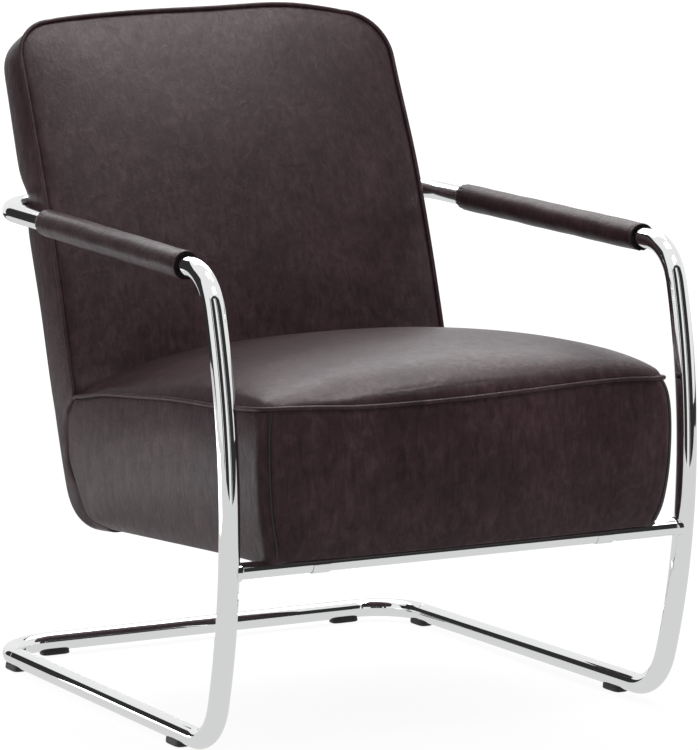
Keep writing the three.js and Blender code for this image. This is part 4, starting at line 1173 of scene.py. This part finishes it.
class ChairSeat(bpy.types.Operator):
    """Make the seat: its domed top, front border and side panels"""

    bl_idname = "lounge_chair.seat"
    bl_label = "Seat"

    def execute(self, context):
        shape = BodyShape()
        corner = shape.corner_share()
        seam = math.degrees(settings().body.corner_seam_shade)
        beside_seam = [seam + offset for offset in SEAM_OFFSETS]
        angles = [*BEFORE_SEAM, *beside_seam, *BEHIND_SEAM]
        turns = [corner * (1 - math.sin(math.radians(angle))) for angle in angles]
        run = list(corner + (1 - corner) * (spread(52, 0.62) + 1) / 2)
        depths = [*turns, *run, *INSIDE_BACK]
        rises = (spread(22, 0.7) + 1) / 2
        block = Block(spread(BODY_COLUMNS, BODY_EVENNESS), depths, rises)
        points = shape.seat(block.across, block.depth, block.row)
        piece = new_object("seat_cover", points, block.faces(), "leather", sharp=180)
        side = np.abs(block.across) == 1
        top_edge = (block.row >= 1) & (side | (block.j == 0))
        hidden = (block.depth > HIDDEN_SHARE) | (block.row <= 0)
        sewn = side & (np.abs(block.j - angles.index(seam)) <= 1)
        pinned = np.where(top_edge | hidden | sewn, 1.0, 0.0)
        relax_cover(piece, pinned)
        add_subdivision(piece)
        place_piece(piece, "leather", "seat_cushion")
        return {"FINISHED"}


class ChairOuterBack(bpy.types.Operator):
    """Make the outer back panel, turned under the seat"""

    bl_idname = "lounge_chair.outer_back"
    bl_label = "Outer back"

    def execute(self, context):
        shape = BodyShape()
        body = settings().body
        top_share = 1 - body.panel_top_drop / (body.outer_top_height - body.outer_low_height)
        start = rear_y - body.panel_front
        upright = [shape.outer(share) for share in np.linspace(0, top_share, 14)[1:]]
        line = np.array(shape.underside(start) + upright)
        knots = path_knots(line)
        rows = (spread(84, 0.7) + 1) / 2
        block = Block(spread(44, 0.55), [0, 1], rows)
        place = hermite(knots, line, block.row * knots[-1])
        ahead = hermite(knots, line, np.clip(block.row + PANEL_SLOPE_STEP, 0, 1) * knots[-1])
        behind = hermite(knots, line, np.clip(block.row - PANEL_SLOPE_STEP, 0, 1) * knots[-1])
        along = (ahead - behind) / np.linalg.norm(ahead - behind, axis=1, keepdims=True)
        outward = np.stack([along[:, 1], -along[:, 0]], axis=1)
        clear = body.back_half - body.rear_radius - shape.dent(place[:, 1]) - PANEL_GAP
        half = np.minimum(body.panel_half, clear)
        across_edge = 1 - np.abs(block.across)
        row_edge = np.minimum(block.row, 1 - block.row) * knots[-1]
        edge = np.clip(across_edge * half / PANEL_EDGE, 0, 1) * np.clip(row_edge / PANEL_EDGE, 0, 1)
        proud = np.where(block.j == 1, PANEL_RISE * np.sqrt(edge) - PANEL_SUNK, -PANEL_INSIDE)
        yz = place + outward * proud[:, None]
        points = np.stack([block.across * half, yz[:, 0], yz[:, 1]], axis=1)
        piece = new_object("outer_back_cover", points, block.faces(), "leather", sharp=180)
        add_subdivision(piece)
        place_piece(piece, "leather", "outer_back_panel")
        return {"FINISHED"}


# Welt and stitches

WELT_START = 0.012  # of the back's rows above the crease, where the cord's turn ends
WELT_END = 0.975  # share of the seat's depth at which that turn starts


def welt_half(shape, side):
    """The cord's centre line on one side: up the back and over its top, and round the seat."""
    stand = settings().trim.welt_stand
    lean = np.array([0, -math.sin(shape.outer_angle), math.cos(shape.outer_angle)])
    corner = shape.knots[-CORNER_STEPS - 1]
    rows = np.linspace(shape.crease_knot() + WELT_START, 1, 80)
    turned = np.clip((rows - corner) / (1 - corner), 0, 1) * math.pi / 2
    out = np.stack([side * np.cos(turned), 0 * turned, np.sin(turned)], axis=1)
    on_back = shape.back(side, 0, rows) + stand * (out + lean)
    columns = np.linspace(side, 0, 30)[1:]
    on_top = shape.back(columns, 0, 1) + stand * (np.array([0, 0, 1]) + lean)
    corner_share = shape.corner_share()
    round_corner = corner_share * (1 - np.cos(np.linspace(math.pi / 2, 0, 8)))
    shares = np.concatenate([np.linspace(WELT_END, corner_share, 50)[:-1], round_corner])
    turned = np.clip(1 - shares / corner_share, 0, 1) * math.pi / 2
    out = np.stack([side * np.cos(turned), -np.sin(turned), 0 * turned + 1], axis=1)
    on_seat = shape.seat(side, shares, 1) + stand * out
    on_front = shape.seat(columns, 0, 1) + stand * np.array([0, -1, 1])
    low_y, low_z = shape.front_low
    corner_point = np.array([on_back[0, 0], low_y + 2 * stand, low_z - 3 * stand])
    shares = np.linspace(0, 1, 13)[1:-1, None]
    bend = (1 - shares) ** 2 * on_back[0] + shares**2 * on_seat[0]
    bend = bend + 2 * shares * (1 - shares) * corner_point
    up = np.concatenate([bend[:6][::-1], on_back, on_top])
    return up, np.concatenate([bend[6:], on_seat, on_front])


def welt_path(shape):
    """The cord's centre line: round the back's front edge, down the crease and round the seat."""
    left_back, left_seat = welt_half(shape, -1.0)
    right_back, right_seat = welt_half(shape, 1.0)
    parts = [left_back, right_back[::-1][1:], right_seat, left_seat[::-1][1:]]
    return [Vector(p) for p in np.concatenate(parts)]


class ChairWelt(bpy.types.Operator):
    """Make the welt cord round the back and the seat"""

    bl_idname = "lounge_chair.welt"
    bl_label = "Welt"

    def execute(self, context):
        path = welt_path(BodyShape())
        radius = settings().trim.welt / 2
        piece = sweep("welt_cord", path, [radius] * len(path), 12, "leather")
        place_piece(piece, "welt_leather", "welt")
        return {"FINISHED"}


def stitch_tree():
    """A node tree that sets stitches along an edge path."""
    tree = bpy.data.node_groups.new("stitches", "GeometryNodeTree")
    face = tree.interface
    face.new_socket("Geometry", in_out="INPUT", socket_type="NodeSocketGeometry")
    for name in ("Pitch", "Length", "Thread"):
        face.new_socket(name, in_out="INPUT", socket_type="NodeSocketFloat")
    face.new_socket("Material", in_out="INPUT", socket_type="NodeSocketMaterial")
    face.new_socket("Geometry", in_out="OUTPUT", socket_type="NodeSocketGeometry")
    nodes = tree.nodes
    start = nodes.new("NodeGroupInput")
    end = nodes.new("NodeGroupOutput")
    curve = nodes.new("GeometryNodeMeshToCurve")
    even = nodes.new("GeometryNodeResampleCurve")
    even.mode = "LENGTH"
    tangent = nodes.new("GeometryNodeInputTangent")
    aim = nodes.new("FunctionNodeAlignRotationToVector")
    aim.axis = "X"
    bead = nodes.new("GeometryNodeMeshUVSphere")
    bead.inputs["Segments"].default_value = 6
    bead.inputs["Rings"].default_value = 4
    bead.inputs["Radius"].default_value = 0.5
    size = nodes.new("ShaderNodeCombineXYZ")
    copies = nodes.new("GeometryNodeInstanceOnPoints")
    real = nodes.new("GeometryNodeRealizeInstances")
    smooth = nodes.new("GeometryNodeSetShadeSmooth")
    finish = nodes.new("GeometryNodeSetMaterial")
    wires = (
        (start, "Geometry", curve, "Mesh"),
        (curve, "Curve", even, "Curve"),
        (start, "Pitch", even, "Length"),
        (tangent, "Tangent", aim, "Vector"),
        (start, "Length", size, "X"),
        (start, "Thread", size, "Y"),
        (start, "Thread", size, "Z"),
        (even, "Curve", copies, "Points"),
        (bead, "Mesh", copies, "Instance"),
        (aim, "Rotation", copies, "Rotation"),
        (size, "Vector", copies, "Scale"),
        (copies, "Instances", real, "Geometry"),
        (real, "Geometry", smooth, "Geometry"),
        (smooth, "Geometry", finish, "Geometry"),
        (start, "Material", finish, "Material"),
        (finish, "Geometry", end, "Geometry"),
    )
    for source, output, target, entry in wires:
        tree.links.new(source.outputs[output], target.inputs[entry])
    return tree


def sew(name, paths, slot):
    """Stitches along paths, as one plain mesh."""
    trim = settings().trim
    points = [tuple(p) for path in paths for p in path]
    edges = []
    at = 0
    for path in paths:
        edges += [(at + i, at + i + 1) for i in range(len(path) - 1)]
        at += len(path)
    mesh = bpy.data.meshes.new(name)
    mesh.from_pydata(points, edges, [])
    guide = add_object(name, mesh)
    tree = bpy.data.node_groups.get("stitches") or stitch_tree()
    sewing = guide.modifiers.new("stitches", "NODES")
    sewing.node_group = tree
    values = {
        "Pitch": trim.stitch_pitch,
        "Length": trim.stitch_length,
        "Thread": trim.thread,
        "Material": material("thread"),
    }
    for item in tree.interface.items_tree:
        if item.in_out == "INPUT" and item.name in values:
            sewing[item.identifier] = values[item.name]
    guide.update_tag()
    sewn = guide.evaluated_get(bpy.context.evaluated_depsgraph_get())
    plain = bpy.data.meshes.new_from_object(sewn)
    guide.modifiers.remove(sewing)
    guide.data = plain
    return place_piece(guide, slot)


BESIDE_SEAM = 0.8  # share of the corner seam's place at which its stitches lie
TOPSTITCH_START = 0.02  # of the back's rows above the crease


class ChairStitches(bpy.types.Operator):
    """Sew the stitches of the seat and the back, and lay a black cord in each front corner seam as
    painted shade of its crease
    """

    bl_idname = "lounge_chair.stitches"
    bl_label = "Stitches"

    def execute(self, context):
        shape = BodyShape()
        corners = []
        for side in SIDES.values():
            line = shape.seat(side, shape.seam_share() * BESIDE_SEAM, np.linspace(0.04, 0.96, 40))
            corners.append([Vector(p) for p in line])
        sew("corner_stitches", corners, "leather")
        width = settings().trim.seam_shade_width
        # A black cord along each front corner seam: painted shade of the seam's crease
        for name, side in SIDES.items():
            line = shape.seat(side, shape.seam_share(), np.linspace(0.03, 0.985, 60))
            line = line + width * np.array([side, -1, 0])
            piece = sweep(f"corner_seam_shade_{name}", line, [width] * len(line), 8, "plastic")
            place_piece(piece, "leather")
        rows = np.linspace(shape.crease_knot() + TOPSTITCH_START, 1, 120)
        left, right = (self.topstitch(shape, side, rows) for side in SIDES.values())
        middle = self.topstitch(shape, np.linspace(-1, 1, 80), 1)
        sew("boxing_stitches", [left + middle[1:-1] + right[::-1]], "leather")
        return {"FINISHED"}

    def topstitch(self, shape, across, rows):
        """A line on the back's boxing, beside the welt."""
        front = shape.back(across, 0, rows)
        away = shape.back(across, 0.2, rows) - front
        away = away / np.linalg.norm(away, axis=1, keepdims=True)
        return [Vector(p) for p in front + away * settings().trim.topstitch]


# Arm pads

# The groove that a pad's stitch ring draws in: distances from its front and depths, in millimetres
PAD_DIPS = ((3, 0), (4.2, 0.35), (5, 0.55), (5.8, 0.35), (7, 0), (10, 0), (16, 0))
PAD_EVEN = 24 * MM  # distance from its front at which the even run starts
PAD_THROAT = 0.6 * MM  # gap round the tube at its rear end
PAD_PLAY = 0.1 * MM
# The seam under a pad, the puckers at its rear end and the waves of its leather
SEAM_LIP = 0.5 * MM
SEAM_LIP_PLACE = 3 * MM
SEAM_LIP_REACH = 1.6 * MM
SEAM_GROOVE = 0.9 * MM
SEAM_GROOVE_REACH = 1.1 * MM
PUCKER = 0.4 * MM
PUCKERS = 17
PUCKER_START = 12 * MM  # before the rear end's rounding
PUCKER_END = 4 * MM  # behind its start
WAVE = 0.35 * MM
WAVE_LENGTHWISE = 61  # turns of the wave, in radians to the metre
WAVE_TWIST = 23
# Where the pads' stitches lie
RING_PLACE = 5 * MM
RING_SUNK = 0.5 * MM
SEAM_PLACE = 8 * MM
SEAM_SUNK = 0.35 * MM


class ChairArmPads(bpy.types.Operator):
    """Make the leather arm pads with their foam cores"""

    bl_idname = "lounge_chair.arm_pads"
    bl_label = "Arm pads"

    def execute(self, context):
        loop = TubeLoop()
        rings = []
        seams = []
        trim = settings().trim
        lengths = {"left": trim.pad_length - trim.pad_pull, "right": trim.pad_length}
        fronts = {"left": trim.pad_front + trim.pad_slip, "right": trim.pad_front}
        for name, side in SIDES.items():
            axis = self.axis(loop, side, fronts[name], lengths[name])
            self.sleeve(name, side, axis, lengths[name])
            self.core(name, axis, lengths[name])
            rings.append(self.ring(axis))
            seams.append(self.seam(axis, lengths[name]))
        sew("pad_stitches", rings + seams, "leather")
        return {"FINISHED"}

    def axis(self, loop, side, front, long):
        """Origin at the pad's front end, and the directions along, across and up."""
        x = side * loop.lean_x(loop.arm_z(long / 2 - front))
        start = Vector((x, rear_y - front, loop.arm_z(-front)))
        tilt = settings().tube.arm_tilt
        along = Vector((0, math.cos(tilt), math.sin(tilt)))
        across = Vector((1, 0, 0))
        return start, along, across, across.cross(along)

    def at(self, axis, distance, angle, radius):
        """A point round the pad's axis; angle 0 is across, a quarter turn is up."""
        start, along, across, up = axis
        around = math.cos(angle) * across + math.sin(angle) * up
        return start + along * float(distance) + around * float(radius)

    def profile(self, long):
        """Distances along and radii of the sleeve's outside, from its front lip to its rear end."""
        trim = settings().trim
        tube_radius = settings().tube.diameter / 2
        outer, edge = trim.pad_radius, trim.pad_leather / 2
        rows = []
        for step in range(7):
            angle = math.pi * step / 6
            rows.append((edge - edge * math.sin(angle), outer - edge - edge * math.cos(angle)))
        rows += [(distance * MM, outer - dip * MM) for distance, dip in PAD_DIPS]
        end = long - trim.pad_rounding
        rows += [(d, outer) for d in np.linspace(PAD_EVEN, end, 60)]
        throat = tube_radius + PAD_THROAT
        for step in range(1, 9):
            angle = math.pi / 2 * step / 8
            drop = (outer - throat) * (1 - math.cos(angle))
            rows.append((end + trim.pad_rounding * math.sin(angle), outer - drop))
        rows.append((end + trim.pad_rounding * 0.9, tube_radius + PAD_PLAY))
        return rows

    def sleeve(self, name, side, axis, long):
        """The leather sleeve, with its underside seam and the puckers at its rear end."""
        trim = settings().trim
        sides = 72
        rows = self.profile(long)
        inner = trim.pad_radius - trim.pad_leather
        rows = [(trim.pad_lip * 2, inner), (trim.pad_lip, inner)] + rows
        under = -math.pi / 2
        end = long - trim.pad_rounding
        points = []
        for distance, radius in rows:
            for j in range(sides):
                angle = 2 * math.pi * j / sides
                turned = math.atan2(math.sin(angle - under), math.cos(angle - under))
                offset = turned * trim.pad_radius
                lip = SEAM_LIP * bell(abs(offset) - SEAM_LIP_PLACE, SEAM_LIP_REACH)
                groove = SEAM_GROOVE * bell(offset, SEAM_GROOVE_REACH)
                gather = step_up(distance, end - PUCKER_START, end + PUCKER_END)
                pucker = PUCKER * math.cos(PUCKERS * angle) * gather
                twist = angle * 2 + distance * WAVE_TWIST
                soft = WAVE * math.sin(distance * WAVE_LENGTHWISE + side) * math.cos(twist)
                outside = 1.0 if radius > inner else 0.0
                change = (lip - groove + pucker + soft) * outside
                points.append(self.at(axis, distance, angle, radius + change))
        faces = ring_faces(len(rows), sides)
        piece = new_object(f"arm_sleeve_{name}_leather", points, faces, "leather", sharp=180)
        add_subdivision(piece)
        place_piece(piece, "leather", f"arm_sleeve_{name}")

    def core(self, name, axis, long):
        """The foam core, whose end shows inside the sleeve's front."""
        trim = settings().trim
        inner = trim.pad_radius - trim.pad_leather - PAD_PLAY
        tube_radius = settings().tube.diameter / 2
        lip, bevel, rounding = trim.pad_lip, 1.2 * MM, 1.0 * MM
        rows = [(lip + bevel, tube_radius), (lip, tube_radius + bevel)]
        rows += [(lip, inner - rounding), (lip + rounding, inner)]
        rows += [(long - trim.pad_rounding * 2, inner), (long - trim.pad_rounding, tube_radius)]
        start, along, _, _ = axis
        piece = lathe(f"arm_core_{name}_foam", rows, start, along, 48, "foam")
        place_piece(piece, "black_foam", f"arm_core_{name}")

    def ring(self, axis):
        """The stitch ring near the front edge."""
        trim = settings().trim
        radius = trim.pad_radius - RING_SUNK
        return [self.at(axis, RING_PLACE, 2 * math.pi * j / 60, radius) for j in range(61)]

    def seam(self, axis, long):
        """The stitched seam along the underside."""
        trim = settings().trim
        distances = np.linspace(SEAM_PLACE, long - trim.pad_rounding, 60)
        radius = trim.pad_radius - SEAM_SUNK
        return [self.at(axis, d, -math.pi / 2, radius) for d in distances]


# Fittings

# Heights and insets of a glide's rims, in millimetres
GLIDE_RIMS = ((0.0, 1.6), (0.5, 0.6), (1.5, 0.0), (6.0, 0.4), (8.2, 1.0), (9.0, 2.0))
CLIP_THICKNESS = 0.9 * MM
CLIP_PLAY = 0.3 * MM
# A bolt's head: distances ahead of its seat in millimetres, and shares of its radius
BOLT_SHANK = 0.375
BOLT_HEAD = 5 * MM
BOLT_DOME = ((1.4, 1), (3.4, 0.86), (4.6, 0.62), (5, 0.46), (2, 0.4))
# Parts that keep the frame's shape: their looks, and how their names start
KEPT = {
    "steel": ("base_spigot", "arm_spigot", "clip_screw"),
    "plywood": ("frame_cheek", "front_rail", "rear_seat_rail", "lumbar_rail", "top_rail"),
    "webbing": ("seat_strap", "back_strap"),
    "dust_cover": ("dust_cover",),
}


class ChairFittings(bpy.types.Operator):
    """Make the floor glides, bolts and spacers, and finish the parts that stay as they are"""

    bl_idname = "lounge_chair.fittings"
    bl_label = "Fittings"

    def execute(self, context):
        for name in SIDES:
            self.glide(f"runner_glide_front_{name}", "Y")
            self.glide(f"runner_glide_rear_{name}", "Y")
            self.glide(f"rear_glide_{name}", "X")
            self.bolt(name)
            self.spacer(name)
            self.clip(name)
        for look, stems in KEPT.items():
            for name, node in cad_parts.items():
                if name.startswith(stems):
                    node.data.materials.clear()
                    node.data.materials.append(material(look))
        return {"FINISHED"}

    def glide(self, node, run):
        """A thin plastic glide with a rounded plan, moulded round the underside of its tube."""
        trim = settings().trim
        low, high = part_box(node)
        middle = (low + high) / 2
        half_long, half_wide = trim.glide_length / 2, trim.glide_width / 2
        sides = 40
        points = []
        for height, inset in GLIDE_RIMS:
            for j in range(sides):
                angle = 2 * math.pi * j / sides
                cos, sin = math.cos(angle), math.sin(angle)
                long = (half_long - inset * MM) * math.copysign(abs(cos) ** 0.5, cos)
                wide = (half_wide - inset * MM) * math.copysign(abs(sin) ** 0.5, sin)
                step = Vector((long, wide, 0)) if run == "X" else Vector((-wide, long, 0))
                points.append(Vector((middle.x, middle.y, low.z + height * MM)) + step)
        piece = new_object(f"{node}_plastic", points, ring_faces(len(GLIDE_RIMS), sides), "plastic")
        place_piece(piece, "black_plastic", node)

    def clip(self, name):
        """A thin polished strap that hugs the crossbar and runs back under the front rail."""
        low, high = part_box(f"crossbar_clip_{name}")
        centre = (bar_low + bar_high) / 2
        radius = (bar_high.z - bar_low.z) / 2 + CLIP_PLAY
        outer = radius + CLIP_THICKNESS
        top = high.z - CLIP_PLAY
        bend = [-math.pi * step / 16 for step in range(17)]
        inside = [(centre.y + radius * math.cos(a), centre.z + radius * math.sin(a)) for a in bend]
        outside = [(centre.y + outer * math.cos(a), centre.z + outer * math.sin(a)) for a in bend]
        outline = [*outside[::-1], (centre.y + outer, top - CLIP_THICKNESS)]
        outline += [(high.y, top - CLIP_THICKNESS), (high.y, top), (centre.y + radius, top), *inside]
        count = len(outline)
        points = [(x, y, z) for x in (low.x, high.x) for y, z in outline]
        faces = [(i, (i + 1) % count, count + (i + 1) % count, count + i) for i in range(count)]
        faces += [tuple(range(count - 1, -1, -1)), tuple(range(count, 2 * count))]
        piece = new_object(f"crossbar_clip_{name}_chrome", points, faces, "chrome")
        place_piece(piece, "steel", f"crossbar_clip_{name}")

    def bolt(self, name):
        """A domed bolt with a round recess in its head, seen behind the rear arm tube."""
        low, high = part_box(f"back_bolt_{name}")
        head_radius = (high.x - low.x) / 2
        seat = high.y - low.y - BOLT_HEAD
        shank = head_radius * BOLT_SHANK
        centre = (low + high) / 2
        bevel = 0.4 * MM
        profile = [(0, shank), (seat, shank), (seat, head_radius - bevel), (seat + bevel, head_radius)]
        profile += [(seat + ahead * MM, head_radius * share) for ahead, share in BOLT_DOME]
        start = Vector((centre.x, low.y, centre.z))
        piece = lathe(f"back_bolt_{name}_head", profile, start, (0, 1, 0), 48, "chrome")
        place_piece(piece, "chrome_tube", f"back_bolt_{name}")

    def spacer(self, name):
        """A plastic spacer between the outer back and the rear arm tube."""
        low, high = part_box(f"back_spacer_{name}")
        radius = (high.x - low.x) / 2
        deep = high.y - low.y
        bevel = 1 * MM
        rows = [(0, radius - bevel), (bevel, radius), (deep - bevel, radius), (deep, radius - bevel)]
        centre = (low + high) / 2
        start = Vector((centre.x, low.y, centre.z))
        piece = lathe(f"back_spacer_{name}_plastic", rows, start, (0, 1, 0), 40, "plastic")
        place_piece(piece, "black_plastic", f"back_spacer_{name}")


# Stage

WHITE = (1.0, 1.0, 1.0)
FLOOR_EDGES = (-4.5, 3.2, -1.75, 3.2)  # left, right, front and rear
# Strengths of the white floor and surround, and what the camera and mirrors change
FLOOR_SEEN = 0.82  # share of white in the floor that the camera sees
FLOOR_GLOW = 1.12
FLOOR_MIRROR_LOSS = 0.4
WORLD_GLOW = 0.75
WORLD_SEEN_GAIN = 0.35
WORLD_MIRROR_LOSS = 0.72
LIGHT_TARGET = Vector((0.0, 0.0, 0.5))
# Place, width, height and power
LIGHTS = {
    "rear_top": ((0.5, 1.4, 2.2), 2.6, 1.6, 52.0),
    "front_top": ((0.3, -1.5, 2.5), 1.1, 0.5, 14.0),
    "left_low": ((-1.3, 0.8, 0.08), 1.5, 0.2, 3.8),
}
# Place, turns in degrees, width, height and strength
CARDS = {
    "card_rear": ((2.5, 6.0, 2.5), (90, 0, 0), 8.0, 5.0, 0.9),
    "card_left": ((-6.0, -0.6, 1.9), (90, 0, 90), 5.2, 6.4, 0.9),
    "card_left_front": ((-5.6, -4.2, 1.9), (90, 0, 60), 1.3, 6.4, 0.9),
    "card_right": ((6.0, 0.7, 2.5), (90, 0, 90), 10.4, 5.0, 0.9),
    "card_front": ((-1.4, -8.3, 3.2), (90, 0, -8), 3.0, 10.0, 0.9),
    "card_front_thin": ((1.2, -8.0, 3.2), (90, 0, 10), 0.35, 10.0, 0.9),
    "card_crown": ((0.5, -0.3, 2.6), (0, 0, 0), 1.2, 0.5, 26.0),
    "card_over": ((0.0, 0.2, 3.1), (0, 0, 0), 7.0, 5.6, 0.9),
}
# The camera that was fitted to the photograph
CAMERA_TURNS = (-26.35, 6.70, -1.13)  # azimuth, elevation and roll, in degrees
CAMERA_PLACE = (-1.99891, -4.10864, 0.93892)
CAMERA_LENS = 174.25


class ChairStage(bpy.types.Operator):
    """Set the studio: pale floor, soft lights, white cards for mirrors, and the camera"""

    bl_idname = "lounge_chair.stage"
    bl_label = "Studio"

    def execute(self, context):
        self.floor()
        self.world()
        self.lights()
        self.cards()
        self.camera()
        bpy.context.scene.view_settings.view_transform = "Standard"
        return {"FINISHED"}

    def floor(self):
        """A wide pale floor that keeps the chair's shadow and is mostly white to the camera."""
        graph = Graph("studio_floor")
        pale = graph.node("ShaderNodeBsdfDiffuse", Color=settings().colours.floor[:])
        path = graph.node("ShaderNodeLightPath")
        mirrored = graph.out(path, "Is Glossy Ray")
        seen = graph.out(path, "Is Camera Ray") * FLOOR_SEEN + mirrored
        strength = FLOOR_GLOW - mirrored * FLOOR_MIRROR_LOSS
        white = graph.node("ShaderNodeEmission", Color=WHITE, Strength=strength)
        shaders = (graph.out(pale, "BSDF"), graph.out(white, "Emission"))
        both = graph.node("ShaderNodeMixShader", values=(seen, *shaders))
        graph.node("ShaderNodeOutputMaterial", Surface=graph.out(both, "Shader"))
        left, right, ahead, behind = FLOOR_EDGES
        corners = [(left, ahead, 0), (right, ahead, 0), (right, behind, 0), (left, behind, 0)]
        floor = self.plane("studio_floor", corners, graph.owner)

    def plane(self, name, corners, look):
        """A four-cornered piece of the stage."""
        mesh = bpy.data.meshes.new(name)
        mesh.from_pydata(corners, [], [(0, 1, 2, 3)])
        mesh.materials.append(look)
        return add_object(name, mesh)

    def world(self):
        """A white surround that lights softly and is dark where the chair mirrors it."""
        graph = Graph("studio", "worlds")
        bpy.context.scene.world = graph.owner
        path = graph.node("ShaderNodeLightPath")
        seen = graph.out(path, "Is Camera Ray")
        mirrored = graph.out(path, "Is Glossy Ray")
        strength = WORLD_GLOW + seen * WORLD_SEEN_GAIN - mirrored * WORLD_MIRROR_LOSS
        surround = graph.node("ShaderNodeBackground", Color=WHITE, Strength=strength)
        graph.node("ShaderNodeOutputWorld", Surface=graph.out(surround, "Background"))

    def lights(self):
        """Soft boxes behind the chair, over its front and low on its left."""
        for name, (place, wide, high, power) in LIGHTS.items():
            data = bpy.data.lights.new(name, "AREA")
            data.shape = "RECTANGLE"
            data.size = wide
            data.size_y = high
            data.energy = power
            lamp = add_object(name, data)
            lamp.location = place
            lamp.rotation_euler = (LIGHT_TARGET - Vector(place)).to_track_quat("-Z", "Y").to_euler()

    def cards(self):
        """White cards outside the view that only mirrors see."""
        for name, (place, turned, wide, high, strength) in CARDS.items():
            graph = Graph(name)
            glow = graph.node("ShaderNodeEmission", Color=WHITE, Strength=strength)
            graph.node("ShaderNodeOutputMaterial", Surface=graph.out(glow, "Emission"))
            facing = Euler([math.radians(a) for a in turned]).to_matrix().to_4x4()
            matrix = Matrix.Translation(place) @ facing
            signs = ((-1, -1), (1, -1), (1, 1), (-1, 1))
            corners = [matrix @ Vector((wide / 2 * x, high / 2 * y, 0)) for x, y in signs]
            card = self.plane(name, corners, graph.owner)
            card.visible_camera = False
            card.visible_diffuse = False
            card.visible_shadow = False

    def camera(self):
        """The camera, a long lens from the front left."""
        azimuth, elevation, roll = (math.radians(a) for a in CAMERA_TURNS)
        flat = math.cos(elevation)
        back = Vector((math.sin(azimuth) * flat, -math.cos(azimuth) * flat, math.sin(elevation)))
        level = Vector((0, 0, 1)).cross(back).normalized()
        above = back.cross(level)
        right = math.cos(roll) * level + math.sin(roll) * above
        up = -math.sin(roll) * level + math.cos(roll) * above
        data = bpy.data.cameras.new("camera")
        data.lens = CAMERA_LENS
        data.sensor_width = 36.0
        camera = add_object("camera", data)
        turned = Matrix((right, up, back)).transposed().to_4x4()
        camera.matrix_world = Matrix.Translation(CAMERA_PLACE) @ turned
        bpy.context.scene.camera = camera


class ChairPanel(bpy.types.Panel):
    """Buttons for each group of pieces"""

    bl_idname = "VIEW3D_PT_lounge_chair"
    bl_label = "Lounge Chair"
    bl_space_type = "VIEW_3D"
    bl_region_type = "UI"
    bl_category = "Lounge Chair"

    def draw(self, context):
        for operator in OPERATORS:
            self.layout.operator(operator.bl_idname)


OPERATORS = (
    ChairStage,
    ChairTubes,
    ChairBack,
    ChairSeat,
    ChairOuterBack,
    ChairWelt,
    ChairStitches,
    ChairArmPads,
    ChairFittings,
)
GROUPS = (ChairTubeSizes, ChairBodySizes, ChairTrimSizes, ChairColours, LoungeChairSettings)


def register():
    for made in (*GROUPS, *OPERATORS, ChairPanel):
        bpy.utils.register_class(made)
    bpy.types.Scene.lounge_chair = PointerProperty(type=LoungeChairSettings)


def unregister():
    del bpy.types.Scene.lounge_chair
    for made in reversed((*GROUPS, *OPERATORS, ChairPanel)):
        bpy.utils.unregister_class(made)


def main():
    """Registers the add-on and builds the chair, one group of pieces after another."""
    register()
    for operator in OPERATORS:
        group, name = operator.bl_idname.split(".")
        getattr(getattr(bpy.ops, group), name)()


if __name__ == "__main__":
    main()
